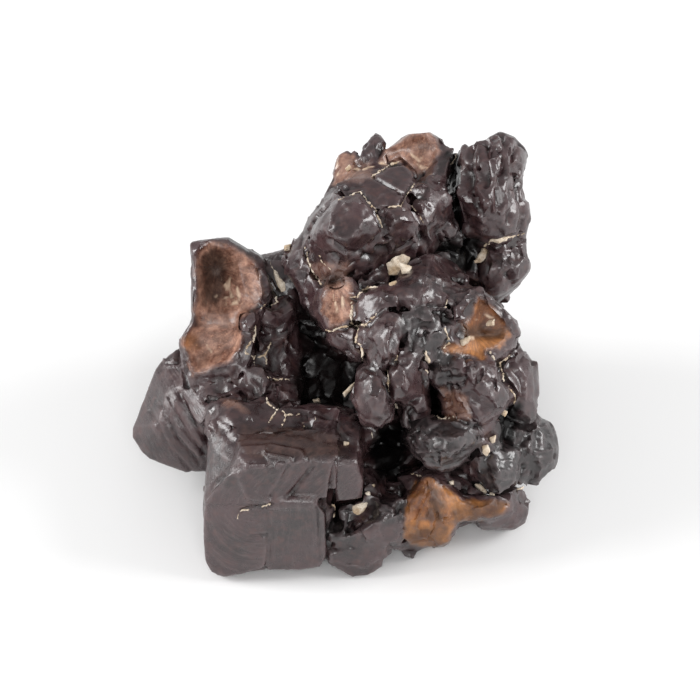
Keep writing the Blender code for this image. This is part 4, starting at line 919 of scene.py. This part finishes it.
# Goethite skin, grown in water and never polished: dark chocolate brown with a purple-grey bloom,
# dull satin like melted chocolate. Clouds are 9 mm wide, mottling 2 mm, specks and fibres under 1.
skin = bpy.data.materials.new("goethite_skin")
skin.use_nodes = True
tree = skin.node_tree
shader = tree.nodes["Principled BSDF"]
shader.inputs["IOR"].default_value = 1.7
where = node(tree, "ShaderNodeTexCoord", output="Object")
cloudy = node(tree, "ShaderNodeTexNoise", {},
              {"Vector": where, "Scale": per_mm(9), "Detail": 4.0, "Roughness": 0.6})
mottled = node(tree, "ShaderNodeTexNoise", {},
               {"Vector": where, "Scale": per_mm(2.2), "Detail": 6.0, "Roughness": 0.65})
specked = node(tree, "ShaderNodeTexNoise", {},
               {"Vector": where, "Scale": per_mm(0.6), "Detail": 3.0, "Roughness": 0.7})
wrinkled = node(tree, "ShaderNodeTexNoise", {"noise_type": "RIDGED_MULTIFRACTAL"},
                {"Vector": where, "Scale": per_mm(3.2), "Detail": 5.0, "Roughness": 0.5,
                 "Distortion": 0.8})
felt = {name: node(tree, "ShaderNodeAttribute", {"attribute_name": name}, {}, "Fac") for name in told}
along = node(tree, "ShaderNodeAttribute", {"attribute_name": "fibre"}, {}, "Vector")
fibrous = node(tree, "ShaderNodeTexNoise", {},
               {"Vector": along, "Scale": 1.5, "Detail": 5.0, "Roughness": 0.65})

brown = layered(tree, "#1f1113", (cloudy, 0.35, 0.68, 0, 1, "#3f2a2c"),
                (mottled, 0.5, 0.75, 0, 1, "#4a2f2c"))
charcoal = layered(tree, "#171414", (mottled, 0.4, 0.7, 0, 1, "#322d2e"))
pinkish = layered(tree, "#7c4f3d", (mottled, 0.36, 0.68, 0, 1, "#cda08a"),
                  (specked, 0.56, 0.72, 0, 1, "#d8a587"))
ochre = layered(tree, "#703f1e", (cloudy, 0.35, 0.62, 0, 1, "#be7d40"),
                (specked, 0.58, 0.75, 0, 0.7, "#d0a06a"))
rusty = layered(tree, pinkish, (felt["orange"], 0, 1, 0, 1, ochre),
                (fibrous, 0.42, 0.62, 0.45, 0, "#2e1a13"))
fibres = node(tree, "ShaderNodeMapRange", {}, {0: fibrous, 1: 0.5, 2: 0.72, 3: 0.0, 4: 0.35})
streaky = node(tree, "ShaderNodeMath", {"operation": "MULTIPLY"}, {0: felt["combed"], 1: fibres})
colour = layered(
    tree, brown,
    (felt["coal"], 0, 1, 0, 0.85, charcoal),
    (streaky, 0, 1, 0, 1, "#655452"),
    (felt["rust"], 0, 1, 0, 1, rusty),
    # Convex edges lightened: partly wear, partly a painted highlight.
    (felt["worn"], 0, 1, 0, 0.25, "#6b5b5c"),
    # Painted shade in recesses.
    (felt["deep"], 0.1, 1, 0, 0.8, "#0b0807"),
    # Painted shade in the listed pockets and wells and on the cube's top.
    (felt["painted_shade"], 0, 1, 0, 1, "#0a0808"),
    (felt["flame"], 0.1, 0.9, 0, 0.85, "#b9683a"),
    # Pale streaks, partly chalk and partly painted highlights.
    (felt["pale"], 0.15, 0.9, 0, 0.9, "#dcc2a8"),
)
tree.links.new(colour, shader.inputs["Base Color"])

# Satin where it is smooth, dusty where it is rusty, and without gloss in the pockets of painted shade.
satin = node(tree, "ShaderNodeMapRange", {}, {0: mottled, 1: 0.3, 2: 0.7, 3: 0.22, 4: 0.42})
dusty = node(tree, "ShaderNodeMapRange", {}, {0: felt["rust"], 1: 0.2, 2: 1.0, 3: 0.0, 4: 0.5})
rough = node(tree, "ShaderNodeMath", {"operation": "MAXIMUM"}, {0: satin, 1: dusty})
tree.links.new(rough, shader.inputs["Roughness"])
dull = node(tree, "ShaderNodeMapRange", {}, {0: felt["rust"], 1: 0.3, 2: 1.0, 3: 0.0, 4: 0.7})
dull = node(tree, "ShaderNodeMath", {"operation": "MAXIMUM"}, {0: felt["painted_shade"], 1: dull})
gloss = node(tree, "ShaderNodeMapRange", {}, {0: dull, 1: 0.0, 2: 1.0, 3: 0.5, 4: 0.2})
tree.links.new(gloss, shader.inputs["Specular IOR Level"])

# Fine grain, wrinkles that are strongest on the slag, and the growth lines.
fine = node(tree, "ShaderNodeBump", {}, {"Strength": 0.3, "Distance": 0.12 * MM, "Height": mottled})
wrinkly = node(tree, "ShaderNodeMapRange", {}, {0: felt["coal"], 1: 0.0, 2: 1.0, 3: 0.2, 4: 0.75})
relief = node(tree, "ShaderNodeBump", {},
              {"Strength": wrinkly, "Distance": 0.3 * MM, "Height": wrinkled, "Normal": fine})
ribbed = node(tree, "ShaderNodeMapRange", {}, {0: felt["combed"], 1: 0.0, 2: 1.0, 3: 0.0, 4: 0.75})
lines = node(tree, "ShaderNodeBump", {},
             {"Strength": ribbed, "Distance": 0.3 * MM, "Height": fibrous, "Normal": relief})
tree.links.new(lines, shader.inputs["Normal"])
stone.data.materials.clear()
stone.data.materials.append(skin)
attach(stone, "root")
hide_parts("concretion")

# The cream matrix: pale clay and lime that fills the joints between the crystals, left in them when
# the stone was cleaned. Thin broken seams along the joints and a few larger crumbs in the gaps.

# Seams: half-width in mm, then the line in steps across and down. Crumbs: their outlines.
SEAMS = [
    (0.22, [(350, 196), (360, 191), (366, 199), (372, 206), (376, 210), (378, 218), (383, 228)]),
    (0.18, [(374, 175), (387, 167), (400, 161)]), (0.14, [(414, 184), (407, 195), (401, 206), (388, 207)]),
    (0.14, [(412, 206), (418, 213), (423, 222)]), (0.18, [(457, 149), (456, 157), (451, 165)]),
    (0.20, [(306, 248), (308, 258), (311, 268), (316, 276), (322, 286)]),
    (0.14, [(319, 255), (323, 263), (331, 270)]),
    (0.25, [(352, 302), (352, 311), (351, 321), (352, 325), (341, 327), (333, 331), (326, 330)]),
    (0.25, [(351, 297), (358, 297), (362, 291), (368, 288), (378, 287)]),
    (0.30, [(360, 324), (366, 325), (370, 320), (374, 317), (377, 314)]),
    (0.25, [(359, 327), (357, 336), (356, 342), (361, 345), (363, 350), (362, 360)]),
    (0.18, [(351, 322), (355, 326), (359, 328)]), (0.20, [(398, 353), (397, 358), (395, 362)]),
    (0.18, [(388, 372), (388, 382), (389, 392)]), (0.22, [(445, 329), (448, 338), (449, 343), (443, 349)]),
    (0.22, [(489, 351), (492, 356), (494, 360)]),
    (0.25, [(510, 355), (505, 359), (500, 362), (500, 367), (503, 374), (503, 382)]),
    (0.20, [(508, 387), (513, 393), (516, 399), (513, 404)]),
    (0.30, [(426, 352), (428, 358), (429, 363)]), (0.25, [(426, 369), (428, 375)]),
    (0.28, [(434, 415), (441, 419), (449, 418), (455, 417)]),
    (0.25, [(255, 325), (255, 332), (253, 340), (246, 348), (246, 353), (255, 357), (265, 355), (271, 342)]),
    (0.20, [(265, 356), (267, 365)]), (0.15, [(253, 357), (255, 366)]),
    (0.22, [(268, 377), (277, 380), (284, 379), (290, 380)]),
    (0.22, [(282, 410), (286, 415), (293, 415), (300, 414)]), (0.20, [(278, 409), (273, 416), (269, 422)]),
    (0.18, [(286, 417), (283, 423), (281, 427)]), (0.18, [(266, 397), (269, 404), (276, 409)]),
    (0.20, [(276, 297), (277, 303), (271, 306)]), (0.20, [(262, 308), (266, 303)]),
    (0.16, [(238, 518), (239, 512), (244, 510), (250, 509)]), (0.16, [(262, 507), (267, 505), (271, 504)]),
    (0.20, [(447, 300), (445, 308)]), (0.20, [(516, 487), (524, 486)]),
    (0.22, [(474, 262), (480, 255), (484, 246), (492, 240), (504, 238), (516, 236), (524, 234)]),
    (0.16, [(410, 474), (417, 475), (424, 477)]), (0.14, [(338, 200), (345, 197)]),
    (0.18, [(383, 171), (376, 174), (371, 177)]), (0.20, [(270, 263), (274, 270), (279, 276)]),
    (0.16, [(315, 417), (315, 421)]), (0.16, [(303, 424), (304, 428)]), (0.18, [(371, 432), (373, 438)]),
]
CRUMBS = [
    [(386, 264), (394, 259), (404, 267), (399, 274), (389, 275)],
    [(392, 259), (402, 254), (410, 258), (406, 268), (396, 268)],
    [(399, 262), (412, 267), (411, 274), (402, 274)],
    [(274, 271), (280, 277), (285, 283), (286, 290), (281, 292), (277, 284)],
    [(352, 506), (362, 503), (368, 503), (366, 510), (358, 515), (353, 512)],
    [(330, 505), (335, 505), (334, 517), (331, 518)],
    [(474, 263), (478, 256), (484, 248), (487, 250), (486, 257), (480, 262)],
    [(490, 240), (498, 238), (507, 240), (498, 243)],
    [(474, 484), (480, 484), (487, 492), (484, 495), (478, 490)],
    [(490, 493), (494, 494), (494, 497), (490, 496)], [(517, 488), (524, 487), (522, 490), (516, 490)],
    [(482, 445), (487, 444), (490, 450), (487, 456), (483, 452)],
    [(490, 438), (496, 435), (495, 442), (491, 443)], [(449, 482), (453, 481), (454, 485), (450, 485)],
    [(366, 493), (370, 492), (371, 496), (367, 496)], [(371, 484), (375, 483), (374, 488)],
    [(361, 346), (365, 347), (364, 355), (361, 358)], [(426, 355), (430, 358), (429, 363), (425, 360)],
    [(343, 393), (354, 382), (353, 388), (345, 397)], [(313, 400), (319, 398), (320, 402), (314, 403)],
    [(395, 404), (399, 404), (399, 409), (395, 408)], [(460, 341), (470, 336), (468, 343), (460, 347)],
    [(486, 322), (495, 318), (494, 326), (487, 326)], [(284, 246), (291, 244), (290, 250), (285, 251)],
    [(344, 442), (349, 442), (348, 445), (344, 445)], [(389, 284), (396, 281), (397, 288), (391, 288)],
    [(345, 168), (349, 165), (351, 170), (347, 172)], [(502, 409), (507, 412), (505, 417), (501, 414)],
]
# A seam is a row of beads this many steps apart, in mm long, wide and high, that stray from their
# line by some steps. A few are missing. Sizes of a crumb are in mm, how far it strays in steps.
SEAM_STEP = 1.2
BEAD_CORNERS = 9
BEAD_LONG = 0.5
BEAD_WIDER = 0.03
BEAD_WIDTHS = (0.8, 1.8)
BEAD_HEIGHTS = (-0.6, 0.38)
BEAD_STRAY = 0.35
BEADS_MISSING = 0.03
CRUMB_PROUD = 0.35
CRUMB_DEEP = 1.6
CRUMB_STRAY = 0.5
CRUMB_UNEVEN = 0.4
CRUMB_TOP = 0.5
CREAM_GRAIN = 0.17
SEED = 5

dice = random.Random(SEED)
cream_mesh = bmesh.new()
for half, line in SEAMS:
    for (ax, ay), (bx, by) in zip(line, line[1:]):
        steps = max(1, round(math.hypot(bx - ax, by - ay) / SEAM_STEP))
        for k in range(steps):
            share = (k + dice.random() * 0.6) / steps
            x = ax + (bx - ax) * share + dice.gauss(0, BEAD_STRAY)
            y = ay + (by - ay) * share + dice.gauss(0, BEAD_STRAY)
            near = surface_near(final_tree, x, y)
            if near is None or dice.random() < BEADS_MISSING:
                continue
            width = (half + BEAD_WIDER) * dice.uniform(*BEAD_WIDTHS)
            middle = spot(x, y, near)
            along = Vector((bx - ax, ay - by)).normalized()
            points = []
            for _ in range(BEAD_CORNERS):
                long_way = dice.uniform(-1, 1) * BEAD_LONG
                wide_way = dice.uniform(-1, 1) * width
                side = RIGHT * (along.x * long_way - along.y * wide_way)
                rise_way = UP * (along.y * long_way + along.x * wide_way)
                points.append(middle + side + rise_way + NEAR * dice.uniform(*BEAD_HEIGHTS))
            add_hull(cream_mesh, points)
for outline in CRUMBS:
    middle_x = sum(x for x, _ in outline) / len(outline)
    middle_y = sum(y for _, y in outline) / len(outline)
    nears = [surface_near(final_tree, x, y) for x, y in outline]
    nears = [n for n in nears if n is not None]
    near = (np.mean(nears) + max(nears)) / 2
    points = []
    for x, y in outline:
        for _ in range(2):
            points.append(spot(x + dice.gauss(0, CRUMB_STRAY), y + dice.gauss(0, CRUMB_STRAY),
                               near + CRUMB_PROUD - abs(dice.gauss(0, CRUMB_UNEVEN))))
        points.append(spot(middle_x + (x - middle_x) * CRUMB_TOP, middle_y + (y - middle_y) * CRUMB_TOP,
                           near + CRUMB_PROUD + dice.uniform(0, CRUMB_PROUD)))
        points.append(spot(x, y, near - CRUMB_DEEP))
    add_hull(cream_mesh, points)
bmesh.ops.recalc_face_normals(cream_mesh, faces=cream_mesh.faces)
cream_data = bpy.data.meshes.new("cream_matrix")
cream_mesh.to_mesh(cream_data)
cream_mesh.free()
cream = bpy.data.objects.new("cream_matrix", cream_data)
bpy.context.scene.collection.objects.link(cream)
with_modifier(cream, "REMESH", mode="VOXEL", voxel_size=CREAM_GRAIN)
places = rows_of(cream.data)
normals = rows_of(cream.data, "normal")
places = relaxed(places, edges_of(cream.data), 1, 0.5)
places += normals * (waves(0.14, 0.7, 61) + waves(0.10, 1.6, 62))[:, None]
cream.data.vertices.foreach_set("co", places.ravel())
cream.data.transform(Matrix.Scale(MM, 4))

# Dry lime clay: pale cream to tan, dead matt and powdery.
clay = bpy.data.materials.new("cream_lime_clay")
clay.use_nodes = True
tree = clay.node_tree
shader = tree.nodes["Principled BSDF"]
where = node(tree, "ShaderNodeTexCoord", output="Object")
cloudy = node(tree, "ShaderNodeTexNoise", {},
              {"Vector": where, "Scale": per_mm(3.0), "Detail": 4.0, "Roughness": 0.6})
grainy = node(tree, "ShaderNodeTexNoise", {},
              {"Vector": where, "Scale": per_mm(0.35), "Detail": 3.0, "Roughness": 0.6})
pale = layered(tree, "#b39c80", (cloudy, 0.35, 0.65, 0, 1, "#e8dccb"),
               (grainy, 0.5, 0.7, 0, 0.5, "#8a6a48"))
tree.links.new(pale, shader.inputs["Base Color"])
shader.inputs["Roughness"].default_value = 0.9
grain = node(tree, "ShaderNodeBump", {}, {"Strength": 0.5, "Distance": 0.1 * MM, "Height": grainy})
tree.links.new(grain, shader.inputs["Normal"])
cream.data.materials.append(clay)
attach(cream, "root")
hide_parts("concretion")

# The table: a plain pale floor under soft studio light, and the camera that looks down on it.
floor_mesh = bmesh.new()
bmesh.ops.create_grid(floor_mesh, x_segments=1, y_segments=1, size=2.5)
floor_data = bpy.data.meshes.new("floor")
floor_mesh.to_mesh(floor_data)
floor_mesh.free()
floor = bpy.data.objects.new("floor", floor_data)
bpy.context.scene.collection.objects.link(floor)

# Matt white paper: even and without gloss, so it only takes the stone's soft shadow.
paper = bpy.data.materials.new("matt_white_paper")
paper.use_nodes = True
shader = paper.node_tree.nodes["Principled BSDF"]
shader.inputs["Base Color"].default_value = linear("#f0f0f0")
shader.inputs["Roughness"].default_value = 0.9
floor.data.materials.append(paper)

world = bpy.data.worlds.new("studio")
world.use_nodes = True
room = world.node_tree.nodes["Background"]
room.inputs["Color"].default_value = linear("#ffffff")
room.inputs["Strength"].default_value = 0.48
bpy.context.scene.world = world


def softbox(name, place, size, power):
    """A square soft light in metres, turned to the middle of the stone."""
    light = bpy.data.lights.new(name, "AREA")
    light.shape = "SQUARE"
    light.size = size
    light.energy = power
    holder = bpy.data.objects.new(name, light)
    bpy.context.scene.collection.objects.link(holder)
    holder.location = place
    aim = SIGHT_MIDDLE * MM - Vector(place)
    holder.rotation_euler = aim.to_track_quat("-Z", "Y").to_euler()


softbox("left", (-1.3, 0.0, 0.7), 0.75, 18)
softbox("right", (1.3, 0.0, 0.75), 0.7, 16)
softbox("front", (0.0, -1.1, 0.8), 0.7, 7)

SENSOR = 36
view = bpy.data.cameras.new("view")
view.sensor_width = SENSOR
view.lens = SENSOR * EYE_DISTANCE / (FIELD * STEP)
viewer = bpy.data.objects.new("view", view)
bpy.context.scene.collection.objects.link(viewer)
viewer.location = EYE * MM
viewer.rotation_euler = (-NEAR).to_track_quat("-Z", "Y").to_euler()
bpy.context.scene.camera = viewer
bpy.context.scene.view_settings.view_transform = "Standard"
